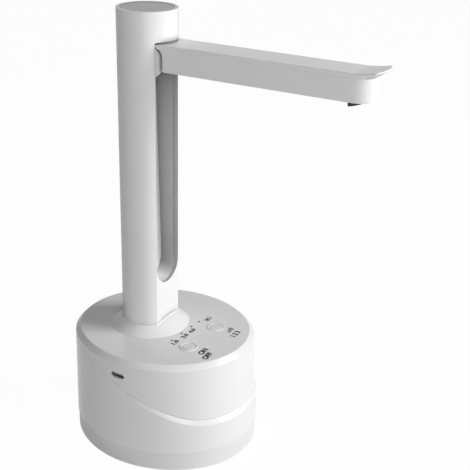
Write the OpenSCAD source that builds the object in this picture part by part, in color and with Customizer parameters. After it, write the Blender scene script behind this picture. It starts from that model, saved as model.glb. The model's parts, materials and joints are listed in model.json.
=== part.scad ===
// Electric water jug pump with a folding spout arm.
// Millimetres, +X towards the spout, +Z up, origin at the mouth of the jug neck socket under the base.

/* [Base] */
// Length of the oval base, along the spout
base_l = 113; // [104:0.5:122]
// Width of the oval base
base_w = 100; // [92:0.5:108]
// Height of the flat top of the base
base_h = 68; // [64:0.5:74]
// How much smaller than half the width the radius of the oval's end arcs is
end_fall = 4; // [3:0.1:4.4]
// Height of the foot band
foot_h = 11; // [9.5:0.5:12]
// Width of the bevel along the top edge
edge_bevel = 2.8; // [1.5:0.1:3.5]
// Wall draft of the shells in degrees
draft = 0.7; // [0.2:0.1:1]

/* [Seam] */
// Width of the ledge that the lower shell leaves at the front
ledge = 2; // [1:0.1:2.2]
// Height of the ledge's bevel
bevel_h = 2.6; // [1.5:0.1:4]
// How far the seam is below the top at the middle of the base
seam_drop = 18; // [17.5:0.5:20]
// Slope of the seam in degrees
seam_angle = 24.4; // [20:0.2:25]

/* [Column] */
// Diameter of the column
col_d = 33.4; // [33:0.1:34.4]
// Height of the column's rim above the arm's top face
rim_rise = 17; // [13:0.5:24]
// Distance of the column's axis behind the base's centre
col_back = 11; // [10.5:0.25:12]
// Width of the column's flat front and of its slot
slot_w = 23; // [22.6:0.1:23.4]
// Room for a finger between the folded arm's end and the slot's lower end
finger_gap = 4.9; // [3.5:0.1:9]
// Diameter of the collar at the column's foot
collar_d = 46.2; // [45:0.2:48]
// Height of the collar
collar_h = 4.3; // [4:0.1:5]

/* [Spout arm] */
// Width of the arm
arm_w = 20; // [19:0.2:20.4]
// Height of the arm, top cover included
arm_h = 14.4; // [14:0.1:15]
// Height of the arm's top face
arm_top = 239; // [225:0.5:260]
// Distance of the arm's round end in front of the base's centre
arm_reach = 122; // [112:0.5:130]
// Rise of the finger lip at the end of the top cover
lip_rise = 2.1; // [1:0.1:3]

/* [Buttons and jug] */
// Diameter of the two buttons
button_d = 9.8; // [9:0.1:10.4]
// Travel of the buttons
button_travel = 0.5; // [0.3:0.05:0.6]
// Diameter of the socket that sits on a jug's neck
neck_d = 57; // [55.5:0.5:58]

/* [Hidden] */
$fn = 96;
// Clearances: between seated pieces, around moving pieces, and of a running fit
fit = 0.1;
gap = 0.35;
run = 0.05;
// Overlap that fuses two shapes of one piece, or carries a cut past a face
over = 0.2;

// Oval of four arcs
half_l = base_l / 2;
half_w = base_w / 2;
end_r = half_w - end_fall;
end_x = half_l - end_r;
side_y = (end_x * end_x - end_fall * end_fall) / (2 * end_fall);
side_r = half_w + side_y;
end_angle = atan2(side_y, end_x);

// Shells
lower_wall = 3.1;
shell_in = 4.6;
shell_steps = 96;
top_t = 2.6;
top_in = base_h - top_t;
floor_t = 2.4;
shell_low = foot_h + fit;
seam_lip = 5;
cover_lip = 4;
band_in = 0.4;
rib_t = 1.8;
rib_drop = 2;

// Seam line: a straight slope with a curve at the front and one at the back
seam_mid = base_h - seam_drop;
front_curve_l = 25;
front_curve_in = 1;
seam_front = half_l - front_curve_l;
seam_back = -5;
back_curve_out = 2.2;
front_r = (front_curve_l - front_curve_in) / sin(seam_angle);
back_r = (half_l + back_curve_out + seam_back) / sin(seam_angle);

// Screw posts of the upper shell, two in front and two behind, and their screws
post_in = 8.7;
front_post_angle = 32.4;
rear_post_angle = 12.4;
post_r = 3.6;
post_low = 8.2;
boss_wall = 1.2;
head_seat = 4.6;
cover_screw_r = 1.3;
cover_screw_l = 16;
cover_head_r = 2.5;
cover_head_h = 1.75;
screw_tip = 0.8;

// Column
col_x = -col_back;
col_r = col_d / 2;
col_wall = 2;
bore_r = col_r - col_wall;
flat_x = sqrt(col_r * col_r - slot_w * slot_w / 4);
bore_flat = flat_x - col_wall;
collar_top = base_h + collar_h;
collar_edge = 0.5;
collar_rim = 0.9;
flange_r = 22;
flange_t = 3;
flange_low = top_in - fit - flange_t;
col_screw_ring = 19.4;
col_screw_r = 1.1;
col_screw_in = 1.4;
col_head_r = 2.1;
col_head_h = 1.6;
cap_t = 2.4;
cap_drop = 0.15;
cap_shelf = 3;
col_top = arm_top + rim_rise;
cap_seat = col_top - cap_drop - cap_t - fit;
slot_top = arm_top + gap;
flat_head = 2;
flat_top = arm_top + flat_head;
slot_r = slot_w / 2;

// Hinge
pivot_ahead = 5.9;
pivot_drop = 9.5;
pivot_x = col_x + pivot_ahead;
pivot_z = arm_top - pivot_drop;
slot_low = pivot_z - (arm_reach - pivot_x) - finger_gap;
slot_round_z = slot_low + slot_r;
ear_r = 9.95;
ear_t = 2.1;
ear_front = 9;
ear_in = slot_r - ear_t;
ear_root = 0.15;
spindle_r = 3;
stub_r = 2.4;
elbow_l = 12;
feed_y = 4.6;
feed_half = 0.6;
seal_y = 6.6;
seal_half = 0.8;
groove_r = 2.3;

// Hoses and their barbs
hose_r = 3.5;
hose_bore = 2.6;
hose_sides = 12;
hose_off = 0.4;
hose_back = 9.2;
hose_x = col_x - hose_back;
barb_r = 2.4;
barb_bore = 1.3;
barb_l = 6.5;

// Trough behind the slot, its back wall leaning away from the folded arm
trough_back = 4.4;
trough_lift = 1;
trough_low = collar_top + trough_lift;
trough_head = 5;
trough_roof = slot_top + trough_head;
arm_low = arm_top - arm_h;
fold_x = pivot_x - (pivot_z - arm_low);
back_low_x = fold_x - gap;
back_lean = 2.9;
back_high_x = col_x - back_lean;

// Arm
plate_t = 2.4;
plate_low = arm_top - plate_t;
tip_x = arm_reach - arm_w / 2;
root_r = ear_r + 0.4;
root_x = pivot_x + root_r;
plate_back = col_x + flat_x + gap - fit;
lip_out = 4;
lip_r = 16;
lip_edge = 0.6;
lip_bend = 1.5;
lip_end = arm_reach + lip_out;
flare_w = slot_w - 2 * gap;
flare_l = 8;
flare_x = plate_back + flare_l;
arm_wall = 2;
lug_in = 3.6;
lug_out = ear_in - gap;
lug_r = pivot_z - arm_low;
lug_neck = 5.5;
lug_block = 2.5;
lug_end = root_x + lug_block;
way_r = 1;
arm_hose_z = arm_low + arm_wall + hose_r + fit;
rail_t = 1.2;
rail_h = 3;
rail_gap = 7;
nozzle_r = 5.2;
nozzle_out = 3.3;
nozzle_tilt = 18;
nozzle_wall = 1.6;
nozzle_rim = 1.5;
nozzle_rim_t = 1;
nozzle_play = 1.6;

// Board, charge port, switches and light guide
port_x = -1.7;
port_drop = 10.5;
port_z = base_h - port_drop;
port_w = 8.94;
port_h = 3.26;
port_wall = 0.3;
port_depth = 7.4;
port_back = 1.2;
port_set = 1.6;
ledge_bend = 2.5;
port_face = -(half_w - ledge_in(90) - port_set);
port_tongue = [6.4, 0.7, 5.6];
board_t = 1.6;
board_top = port_z - port_h / 2;
board_low = board_top - board_t;
board_front_gap = 2.4;
board_side_gap = 19;
board_x0 = 11;
tongue_x0 = -9;
tongue_root = 24;
tongue_gap = 1.3;
tongue_end = -(half_w - shell_in - tongue_gap);
board_half = half_w - board_side_gap;
board_post_in = 4;
board_post_r = 2.6;
board_screw_r = 1;
board_screw_l = 7;
board_head_r = 1.9;
board_head_h = 1.3;
chip = [5, 7, 1.4];
chip_at = [17, -6];
coil = [5, 5, 2.6];
coil_in = 7;
coil_y = -8;
lamp = [2, 1.6, 0.9];
button_r = button_d / 2;
flow_button_at = [25.4, -16.2];
volume_button_at = [27.3, 12.3];
button_proud = 0.3;
button_rim = 0.9;
button_rim_t = 1.8;
stem_r = 2;
switch_side = 6;
switch_h = 3.4;
switch_floor = 0.6;
plunger_r = 1.7;
plunger_up = 5.3;
plunger_top = board_top + plunger_up;
guide_at = [[13.2, -14.8], [13.6, -4.6], [14.2, 5.5], [15, 13]];
guide_r = 0.8;
guide_bar_t = 3;
guide_edge = 1.7;

// Jug neck socket and inlet
neck_r = neck_d / 2;
neck_depth = 12;
neck_roof = neck_depth + floor_t;
well_r = 8;
well_wall = 2;
well_roof = 26;
well_top = well_roof + well_wall;
foot_out = 5.5;
foot_in = 12;
foot_drop = 0.8;
foot_groove = 1.2;
inlet_r = 4;
inlet_bore = 1.5;
inlet_head = 4;
inlet_rim_r = 7;
inlet_rim_t = 1;
inlet_barb_y = 12;

// Battery
cell_r = 9.2;
cell_front = 30.5;
cell_side = 35;
cell_x = half_l - cell_front;
cell_l = base_w - cell_side;
cell_z = 29;
cell_tip_r = 3;
cell_tip_h = 1.2;
saddle_t = 4;
saddle_end = 1.5;
saddle_wall = 0.4;
bridge_half = 6;
bridge_lift = 1;
bridge_t = 2;

// Motor and pump in one line across the base
pump_x = -24;
pump_z = 38;
motor_r = 12.2;
motor_side = 20;
motor_y0 = -(half_w - motor_side);
motor_y1 = 1;
bell_t = 2.5;
bell_in = 0.3;
tag = [2.4, 4, 0.6];
tag_x = 6;
shaft_r = 1;
shaft_back = 2;
cam_r = 3.6;
cam_off = 1.2;
cam_t = 3;
cam_y1 = motor_y1 + 6;
case_r = 13.5;
case_l = 12;
case_end = 1.5;
cavity_r = 11;
lobe_r = 2.6;
lobe_ring = 13;
lobe_bore = 0.9;
case_y1 = motor_y1 + fit + case_l;
rocker_r = 9;
rocker_t = 2.5;
rocker_stem_r = 2.5;
diaphragm_t = 1.6;
diaphragm_y1 = case_y1 + fit + diaphragm_t;
valve_t = 4;
valve_ring = 6;
valve_hole_r = 1.2;
valve_y1 = diaphragm_y1 + fit + valve_t;
head_l = 7;
head_y1 = valve_y1 + fit + head_l;
port_y = valve_y1 + fit + head_l / 2;
way_x = pump_x + 4.6;
pump_screw_in = 10;
pump_head_r = 1.9;
pump_head_h = 1.6;
suction_z = pump_z - 5;
outlet_z = pump_z + 6;
pump_barb_l = 3.2;
pump_barb_x = pump_x + case_r + pump_barb_l;
hose_start_x = pump_x + case_r + hose_off;
cradle_y0 = -11;
cradle_foot = 4;
cradle_arm = 13;
cradle_drop = 3;

// Routes of the two hoses in the base
suction_bend = 7;
delivery_bend = 9;
delivery_turn_x = -5.5;
delivery_run = 5;
delivery_pull = 14;
delivery_push = 26;
delivery_knee = 6;
delivery_steps = 12;

// Point of the oval whose outward normal points at angle a, moved out by d
function on_end(a) = abs(cos(a)) >= cos(end_angle);
function arc_centre(a) = on_end(a) ? [sign(cos(a)) * end_x, 0] : [0, -sign(sin(a)) * side_y];
function oval_point(a, d) = arc_centre(a) + ((on_end(a) ? end_r : side_r) + d) * [cos(a), sin(a)];

// Places of the screw posts, and of the board's posts that keep clear of them
post_at = [for (a = [front_post_angle, -front_post_angle, 180 - rear_post_angle, 180 + rear_post_angle])
    oval_point(a, -post_in)];
board_x1 = post_at[0][0] - post_r - board_front_gap;
board_post_at = [[board_x1 - board_post_in, board_half - board_post_in],
                 [board_x1 - board_post_in, board_post_in - board_half],
                 [board_x0 + board_post_in, board_half - board_post_in]];

// How far the drafted wall has come in at height z
function wall_in(z) = tan(draft) * (z - foot_h);
// How far the ledge goes in at normal angle a: nothing at the back, all of it in front
function ledge_in(a) = ledge * pow((1 + cos(a)) / 2, ledge_bend);

// Height of the seam at a distance x along the base
function curve_rise(r, x) = r * (cos(asin(sin(seam_angle) - x / r)) - cos(seam_angle));
function slope_z(x) = seam_mid - tan(seam_angle) * x;
function seam_z(x) =
    x > seam_front ? slope_z(seam_front) - curve_rise(front_r, x - seam_front) :
    x < seam_back ? slope_z(seam_back) + curve_rise(back_r, seam_back - x) :
    slope_z(x);

// Frames and rings of a round hose along a list of points
function unit(v) = v / norm(v);
function direction(p, i) = unit(p[min(i + 1, len(p) - 1)] - p[max(i - 1, 0)]);
function side_of(t, guess) = unit(guess - (guess * t) * t);
function sides_along(p, guess, i = 0) =
    i == len(p) ? [] :
    let (s = side_of(direction(p, i), guess)) concat([s], sides_along(p, s, i + 1));
function ring(c, t, s, r) = [
    for (k = [0 : hose_sides - 1])
        let (a = 360 * k / hose_sides) c + r * (cos(a) * s + sin(a) * cross(t, s))];
function bezier(a, b, c, d, n) = [
    for (i = [0 : n]) let (t = i / n, u = 1 - t)
        u * u * u * a + 3 * u * u * t * b + 3 * u * t * t * c + t * t * t * d];

// Hollow hose through the points p
module hose(p, guess) {
    n = len(p);
    k = hose_sides;
    s = sides_along(p, guess);
    outer = [for (i = [0 : n - 1]) each ring(p[i], direction(p, i), s[i], hose_r)];
    inner = [for (i = [0 : n - 1]) each ring(p[i], direction(p, i), s[i], hose_bore)];
    m = n * k;
    skin = [for (i = [0 : n - 2], j = [0 : k - 1])
        let (a = i * k + j, b = i * k + (j + 1) % k) each [[b + k, b, a], [a + k, b + k, a]]];
    lining = [for (f = skin) [m + f[2], m + f[1], m + f[0]]];
    ends = [for (j = [0 : k - 1])
        let (a = j, b = (j + 1) % k, c = (n - 1) * k)
            each [[b, m + b, a], [m + b, m + a, a],
                  [c + m + b, c + b, c + a], [c + m + a, c + m + b, c + a]]];
    polyhedron(concat(outer, inner), concat(skin, lining, ends));
}

// Prism on the oval moved out by d, with n sides
module oval_prism(d, low, high, n = 48) {
    translate([0, 0, low]) linear_extrude(height = high - low)
        polygon([for (i = [0 : n - 1]) oval_point(360 * (i + 0.5) / n, d)]);
}

// Extrusions of a side outline (x, z) across the object and of a front outline (y, z) along it
module side_extrude(width) {
    rotate([90, 0, 0]) linear_extrude(height = width, center = true) children();
}

module front_extrude(x0, x1) {
    translate([x0, 0, 0]) rotate([90, 0, 90]) linear_extrude(height = x1 - x0) children();
}

// Round rods along the three axes, and a box from its low to its high corner
module rod_x(x0, x1, y, z, r) {
    translate([x0, y, z]) rotate([0, 90, 0]) cylinder(r = r, h = x1 - x0);
}

module rod_y(y0, y1, x, z, r) {
    translate([x, y0, z]) rotate([-90, 0, 0]) cylinder(r = r, h = y1 - y0);
}

module rod_z(z0, z1, at, r) {
    translate([at[0], at[1], z0]) cylinder(r = r, h = z1 - z0);
}

module box(low, high) {
    translate(low) cube(high - low);
}

module at_posts() {
    for (p = post_at) translate([p[0], p[1], 0]) children();
}

module at_column_screws() {
    for (a = [45 : 90 : 315])
        translate([col_x + col_screw_ring * cos(a), col_screw_ring * sin(a), 0]) children();
}

// Self-tapping screw with its head's upper face at z and its shank going up
module screw(z, head_r, head_h, shank_r, length) {
    difference() {
        translate([0, 0, z - head_h]) cylinder(r = head_r, h = head_h);
        translate([0, 0, z - head_h - over]) cylinder(r = head_r / 2, h = head_h / 2 + over, $fn = 6);
    }
    translate([0, 0, z - over]) cylinder(r = shank_r, h = length - screw_tip + over);
    translate([0, 0, z + length - screw_tip]) cylinder(r1 = shank_r, r2 = shank_r / 2, h = screw_tip);
}

// Two hinge discs at the slot's sides, straight in front
module ears() {
    for (s = [-1, 1])
        translate([pivot_x, s * (slot_r + ear_root - (ear_t + ear_root) / 2), pivot_z])
            side_extrude(ear_t + ear_root)
                intersection() {
                    circle(r = ear_r);
                    translate([-2 * ear_r, -ear_r]) square([2 * ear_r + ear_front, 2 * ear_r]);
                }
}

// Front outline of the slot
module slot_outline() {
    translate([-slot_r, slot_round_z]) square([slot_w, slot_top - slot_round_z]);
    translate([0, slot_round_z]) circle(r = slot_r);
}

// Column's cross-section inside its wall, grown by d
module bore_section(d) {
    intersection() {
        circle(r = bore_r + d);
        translate([-col_d, -col_d]) square([col_d + bore_flat + d, 2 * col_d]);
    }
}

module bottom_cover() {
    color("whitesmoke")
    difference() {
        union() {
            difference() {
                union() {
                    oval_prism(-band_in, 0, foot_h, shell_steps);
                    oval_prism(-lower_wall - fit, foot_h - over, foot_h + cover_lip);
                }
                oval_prism(-shell_in, floor_t, foot_h + cover_lip + over);
            }
            cylinder(r = neck_r + floor_t, h = neck_roof);
            rod_z(neck_roof - over, well_top, [0, 0], well_r + well_wall);
            at_posts() rod_z(floor_t - over, post_low - fit, [0, 0], post_r + boss_wall);
            intersection() {
                oval_prism(-shell_in + over, floor_t - over, foot_h - rib_drop);
                for (a = [0, 90]) rotate(a) box([-base_l, -rib_t / 2, 0], [base_l, rib_t / 2, foot_h]);
            }
        }
        rod_z(-over, neck_depth, [0, 0], neck_r);
        rod_z(neck_depth - over, well_roof, [0, 0], well_r);
        rod_z(well_roof - over, well_top + over, [0, 0], inlet_r + fit);
        at_posts() rod_z(-over, head_seat, [0, 0], cover_head_r + gap);
        at_posts() rod_z(0, post_low, [0, 0], cover_screw_r + over);
        difference() {
            oval_prism(-foot_out, -over, foot_groove);
            oval_prism(-foot_in, -2 * over, foot_groove + over);
        }
    }
}

module foot_ring() {
    color("dimgray")
    difference() {
        oval_prism(-foot_out - fit, -foot_drop, foot_groove - run);
        oval_prism(-foot_in + fit, -foot_drop - over, foot_groove);
    }
}

module cover_screws() {
    color("silver") at_posts()
        screw(head_seat - run, cover_head_r, cover_head_h, cover_screw_r, cover_screw_l);
}

// Ring of five points across the lower shell's wall at normal angle a
function shell_point(a, d, z) = let (p = oval_point(a, d)) [p[0], p[1], z];
function shell_ring(a) =
    let (inset = ledge_in(a),
         zb = seam_z(oval_point(a, 0)[0]) - bevel_h,
         zc = seam_z(oval_point(a, -inset)[0]),
         zd = seam_z(oval_point(a, -lower_wall)[0]))
    [shell_point(a, 0, shell_low), shell_point(a, -wall_in(zb), zb),
     shell_point(a, -inset - wall_in(zc), zc), shell_point(a, -lower_wall, zd),
     shell_point(a, -lower_wall, shell_low)];

// Triangles between n rings of k points, over the first steps from point to point
function band_faces(n, k, steps) = [
    for (i = [0 : n - 1], j = [0 : steps - 1])
        let (a = i * k, b = (i + 1) % n * k, m = (j + 1) % k)
            each [[a + j, a + m, b + m], [a + j, b + m, b + j]]];

module lower_shell() {
    points = [for (i = [0 : shell_steps - 1]) each shell_ring(360 * (i + 0.5) / shell_steps)];
    k = len(points) / shell_steps;
    color("white") polyhedron(points, band_faces(shell_steps, k, k));
}

// Ring of points across the upper shell: inside down from the ceiling, the lip, outside up to the top
function upper_outer(a, d, z) = let (p = oval_point(a, d - ledge_in(a))) [p[0], p[1], z];
function upper_ring(a) =
    let (lip = seam_z(oval_point(a, -lower_wall - fit)[0]),
         inside = seam_z(oval_point(a, -shell_in)[0]),
         foot = seam_z(upper_outer(a, -wall_in(seam_mid), 0)[0]) + fit,
         corner = base_h - edge_bevel)
    [shell_point(a, -shell_in, top_in), shell_point(a, -shell_in, inside - seam_lip),
     shell_point(a, -lower_wall - fit, lip - seam_lip), shell_point(a, -lower_wall - fit, lip + fit),
     upper_outer(a, -wall_in(foot), foot), upper_outer(a, -wall_in(corner), corner),
     upper_outer(a, -wall_in(corner) - edge_bevel, base_h)];

module upper_shell() {
    n = shell_steps;
    points = [for (i = [0 : n - 1]) each upper_ring(360 * (i + 0.5) / n)];
    k = len(points) / n;
    ceiling = [for (i = [0 : n - 1]) i * k];
    top = [for (i = [n - 1 : -1 : 0]) i * k + k - 1];
    faces = [for (f = band_faces(n, k, k - 1)) [f[2], f[1], f[0]]];
    color("white")
    difference() {
        union() {
            polyhedron(points, concat(faces, [ceiling, top]));
            at_posts() rod_z(post_low, top_in + top_t / 2, [0, 0], post_r);
            for (p = board_post_at) rod_z(board_top + run, top_in + top_t / 2, p, board_post_r);
        }
        at_posts() rod_z(post_low - over, post_low + cover_screw_l, [0, 0], cover_screw_r + run);
        for (p = board_post_at) rod_z(board_top, board_low + board_screw_l + gap, p, board_screw_r + run);
        rod_z(top_in - over, base_h + over, [col_x, 0], col_r + fit);
        at_column_screws() rod_z(top_in - over, base_h + over, [0, 0], col_screw_r + run);
        for (p = [flow_button_at, volume_button_at]) rod_z(top_in - over, base_h + over, p, button_r + gap);
        for (p = guide_at) rod_z(top_in - over, base_h + over, p, guide_r + run);
        translate([port_x, 2 * shell_in - half_w, port_z]) rotate([90, 0, 0])
            linear_extrude(height = 2 * shell_in) pill(gap);
    }
}

// Pill outline of the charge port, grown by d
module pill(d) {
    half = (port_w - port_h) / 2;
    r = port_h / 2 + d;
    for (s = [-1, 1]) translate([s * half, 0]) circle(r = r);
    square([2 * half, 2 * r], center = true);
}

module collar() {
    low = base_h + run;
    color("white")
    difference() {
        translate([col_x, 0, 0]) rotate_extrude()
            polygon([[col_r + fit, low], [collar_d / 2, low], [collar_d / 2, low + collar_edge],
                     [col_r + collar_rim, collar_top], [col_r + fit, collar_top]]);
        at_column_screws() rod_z(base_h - over, base_h + col_screw_in + over, [0, 0], col_screw_r + run);
    }
}

module column_tube() {
    color("white")
    difference() {
        union() {
            difference() {
                rod_z(flange_low, col_top, [col_x, 0], col_r);
                box([col_x + flat_x, -col_d, collar_top], [col_x + col_d, col_d, flat_top]);
                front_extrude(col_x + col_wall, col_x + col_d) slot_outline();
            }
            ears();
            rod_z(flange_low, flange_low + flange_t, [col_x, 0], flange_r);
        }
        translate([col_x, 0, flange_low - over])
            linear_extrude(height = cap_seat - cap_shelf - flange_low + over) bore_section(0);
        rod_z(cap_seat, col_top + over, [col_x, 0], bore_r);
        at_column_screws() rod_z(flange_low - over, flange_low + flange_t + over, [0, 0], col_screw_r + run);
    }
}

module column_screws() {
    color("silver") at_column_screws()
        screw(flange_low - run, col_head_r, col_head_h, col_screw_r, base_h + col_screw_in - flange_low);
}

module slot_trough() {
    nozzle_z = pivot_z - (tip_x - pivot_x);
    color("gainsboro")
    difference() {
        translate([col_x, 0, trough_low]) linear_extrude(height = trough_roof - trough_low)
            intersection() {
                bore_section(-fit);
                translate([-trough_back, -col_d]) square(2 * col_d);
            }
        difference() {
            intersection() {
                front_extrude(col_x - bore_r, col_x + bore_r) slot_outline();
                side_extrude(col_d)
                    polygon([[back_low_x, slot_low - over], [col_x + bore_r, slot_low - over],
                             [col_x + bore_r, slot_top + over],
                             [back_high_x, slot_top + over], [back_high_x, pivot_z]]);
            }
            ears();
        }
        rod_y(-bore_r, bore_r, pivot_x, pivot_z, spindle_r + run);
        rod_x(col_x - col_r, pivot_x, 0, pivot_z, stub_r + fit);
        rod_x(fold_x - nozzle_out - 2 * gap, col_x + bore_r, 0, nozzle_z, nozzle_r + nozzle_play);
    }
}

module column_cap() {
    color("darkgray") rod_z(cap_seat + fit, col_top - cap_drop, [col_x, 0], bore_r - fit);
}

module inlet_fitting() {
    color("dimgray")
    difference() {
        union() {
            rod_z(neck_depth, inlet_z() + inlet_head, [0, 0], inlet_r);
            rod_z(well_top + run, well_top + inlet_rim_t, [0, 0], inlet_rim_r);
            rod_y(0, inlet_barb_y, 0, inlet_z(), barb_r);
        }
        rod_z(neck_depth - over, inlet_z(), [0, 0], inlet_bore);
        rod_y(0, inlet_barb_y + over, 0, inlet_z(), inlet_bore);
    }
}

// The inlet's side barb is level with the pump's suction barb
function inlet_z() = suction_z;

module suction_hose() {
    r = suction_bend;
    turn = [for (a = [0 : 15 : 90]) [r * cos(a) - r, port_y - r + r * sin(a), suction_z]];
    start = [0, inlet_r + hose_off, suction_z];
    color("lightsteelblue") hose(concat([start], turn, [[hose_start_x, port_y, suction_z]]), [0, 0, 1]);
}

module delivery_hose() {
    r = delivery_bend;
    x = delivery_turn_x;
    turn = [for (a = [90 : -15 : 0]) [x + r * cos(a), port_y - r + r * sin(a), outlet_z]];
    foot = [x + r, port_y - r - delivery_run, outlet_z];
    knee = [hose_x, 0, collar_top + delivery_knee];
    climb = bezier(foot, foot - [0, delivery_pull, 0], knee - [0, 0, delivery_push], knee, delivery_steps);
    top = [hose_x, 0, pivot_z - barb_r - 2 * hose_off];
    color("lightsteelblue") hose(concat([[hose_start_x, port_y, outlet_z]], turn, climb, [top]), [0, 0, 1]);
}

// Grooves in the spindle at the distance y to both sides of its middle
module spindle_grooves(y, half) {
    for (s = [-1, 1])
        difference() {
            rod_y(s * y - half, s * y + half, pivot_x, pivot_z, spindle_r + over);
            rod_y(s * y - 2 * half, s * y + 2 * half, pivot_x, pivot_z, groove_r);
        }
}

module swivel_spindle() {
    end_y = sqrt(bore_r * bore_r - pow(pivot_ahead + spindle_r, 2)) - gap;
    color("dimgray")
    difference() {
        union() {
            rod_y(-end_y, end_y, pivot_x, pivot_z, spindle_r);
            rod_x(hose_x, pivot_x, 0, pivot_z, stub_r);
            rod_z(pivot_z - elbow_l, pivot_z, [hose_x, 0], barb_r);
            translate([hose_x, 0, pivot_z]) sphere(r = barb_r);
        }
        rod_x(hose_x, pivot_x, 0, pivot_z, barb_bore);
        rod_z(pivot_z - elbow_l - over, pivot_z, [hose_x, 0], barb_bore);
        rod_y(-feed_y - feed_half, feed_y + feed_half, pivot_x, pivot_z, barb_bore);
        rod_x(pivot_x, pivot_x + spindle_r, feed_y, pivot_z, feed_half);
        spindle_grooves(feed_y, feed_half);
        spindle_grooves(seal_y, seal_half);
    }
}

module spindle_seals() {
    half = seal_half - run;
    color("black")
        for (s = [-1, 1])
            difference() {
                rod_y(s * seal_y - half, s * seal_y + half, pivot_x, pivot_z, spindle_r);
                rod_y(s * seal_y - seal_half, s * seal_y + seal_half, pivot_x, pivot_z, groove_r + run);
            }
}

module battery_cell() {
    end = cell_l / 2;
    color("steelblue") {
        rod_y(-end, end - cell_tip_h, cell_x, cell_z, cell_r);
        rod_y(end - cell_tip_h - over, end, cell_x, cell_z, cell_tip_r);
    }
}

module battery_cradle() {
    reach = cell_r + saddle_wall;
    saddle_y = cell_l / 2 - saddle_end - saddle_t;
    bridge_low = neck_roof + bridge_lift;
    color("lightgray")
    difference() {
        union() {
            for (s = [-1, 1])
                translate([cell_x - reach, s * (saddle_y + saddle_t / 2) - saddle_t / 2, floor_t + run])
                    cube([2 * reach, saddle_t, cell_z - floor_t]);
            box([cell_x - bridge_half, -saddle_y - over, bridge_low],
                [cell_x + bridge_half, saddle_y + over, bridge_low + bridge_t]);
        }
        rod_y(-cell_l, cell_l, cell_x, cell_z, cell_r + fit);
        rod_z(0, neck_roof + run, [0, 0], neck_r + floor_t + gap);
    }
}

module circuit_board() {
    color("darkgreen")
    difference() {
        union() {
            box([board_x0, -board_half, board_low], [board_x1, board_half, board_top]);
            box([tongue_x0, tongue_end, board_low], [board_x0 + over, -tongue_root, board_top]);
            translate([chip_at[0], chip_at[1], board_top - over]) cube(chip + [0, 0, over]);
            translate([board_x1 - coil_in, coil_y, board_top - over]) cube(coil + [0, 0, over]);
            for (p = guide_at)
                translate([p[0] - lamp[0] / 2, p[1] - lamp[1] / 2, board_top - over])
                    cube(lamp + [0, 0, over]);
        }
        for (p = board_post_at) rod_z(board_low - over, board_top + over, p, board_screw_r + over);
    }
}

module board_screws() {
    color("silver")
        for (p = board_post_at)
            translate([p[0], p[1], 0])
                screw(board_low - run, board_head_r, board_head_h, board_screw_r, board_screw_l);
}

module charge_socket() {
    color("silver")
    translate([port_x, port_face + port_depth, port_z]) rotate([90, 0, 0])
        difference() {
            linear_extrude(height = port_depth) pill(-run / 2);
            difference() {
                translate([0, 0, port_back]) linear_extrude(height = port_depth) pill(-port_wall);
                translate([-port_tongue[0] / 2, -port_tongue[1] / 2, port_back - over])
                    cube(port_tongue + [0, 0, over]);
            }
        }
}

module tact_switches() {
    color("dimgray")
    for (p = [flow_button_at, volume_button_at])
        difference() {
            translate([p[0] - switch_side / 2, p[1] - switch_side / 2, board_top + run / 2])
                cube([switch_side, switch_side, switch_h]);
            rod_z(board_top + switch_floor, board_top + switch_h + over, p, plunger_r + run);
        }
}

module light_guide() {
    bar_top = top_in - run;
    first = guide_at[0];
    last = guide_at[len(guide_at) - 1];
    color("lightyellow") {
        box([first[0] - guide_edge, first[1] - guide_edge, bar_top - guide_bar_t],
            [last[0] + guide_edge, last[1] + guide_edge, bar_top]);
        for (p = guide_at) {
            rod_z(bar_top - over, base_h, p, guide_r);
            rod_z(board_top + lamp[2] + run, bar_top - guide_bar_t + over, p, guide_r);
        }
    }
}

module motor_can() {
    color("silver")
    difference() {
        rod_y(motor_y0, motor_y1, pump_x, pump_z, motor_r);
        rod_y(motor_y0 + shaft_back / 2, motor_y1 + over, pump_x, pump_z, shaft_r + run);
    }
}

module motor_end_bell() {
    back = motor_y0 - fit - bell_t;
    color("black") rod_y(back, motor_y0 - fit, pump_x, pump_z, motor_r - bell_in);
    color("gold")
        for (s = [-1, 1])
            translate([pump_x + s * tag_x - tag[0] / 2, back - tag[1] + over, pump_z - tag[2] / 2]) cube(tag);
}

module at_lobes() {
    for (a = [45 : 90 : 315])
        translate([pump_x + lobe_ring * cos(a), 0, pump_z + lobe_ring * sin(a)]) children();
}

// Slice of the pump's body: a round section with four screw lobes
module pump_slice(y0, y1) {
    difference() {
        union() {
            rod_y(y0, y1, pump_x, pump_z, case_r);
            at_lobes() rod_y(y0, y1, 0, 0, lobe_r);
        }
        at_lobes() rod_y(y0 - over, y1 + over, 0, 0, lobe_bore + run);
    }
}

module pump_case() {
    y0 = motor_y1 + fit;
    color("dimgray")
    difference() {
        pump_slice(y0, case_y1);
        rod_y(y0 + case_end, case_y1 + over, pump_x, pump_z, cavity_r);
        rod_y(y0 - over, case_y1, pump_x, pump_z, 2 * shaft_r);
    }
}

module rocker() {
    color("white") {
        rod_y(case_y1 - rocker_t, case_y1, pump_x, pump_z, rocker_r);
        rod_y(cam_y1 + gap, case_y1 - rocker_t + over, pump_x, pump_z, rocker_stem_r);
    }
}

module diaphragm() {
    color("black") pump_slice(case_y1 + fit, diaphragm_y1);
}

module valve_plate() {
    color("white")
    difference() {
        pump_slice(diaphragm_y1 + fit, valve_y1);
        for (a = [0 : 60 : 300])
            rod_y(diaphragm_y1, valve_y1 + over,
                  pump_x + valve_ring * cos(a), pump_z + valve_ring * sin(a), valve_hole_r);
    }
}

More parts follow.
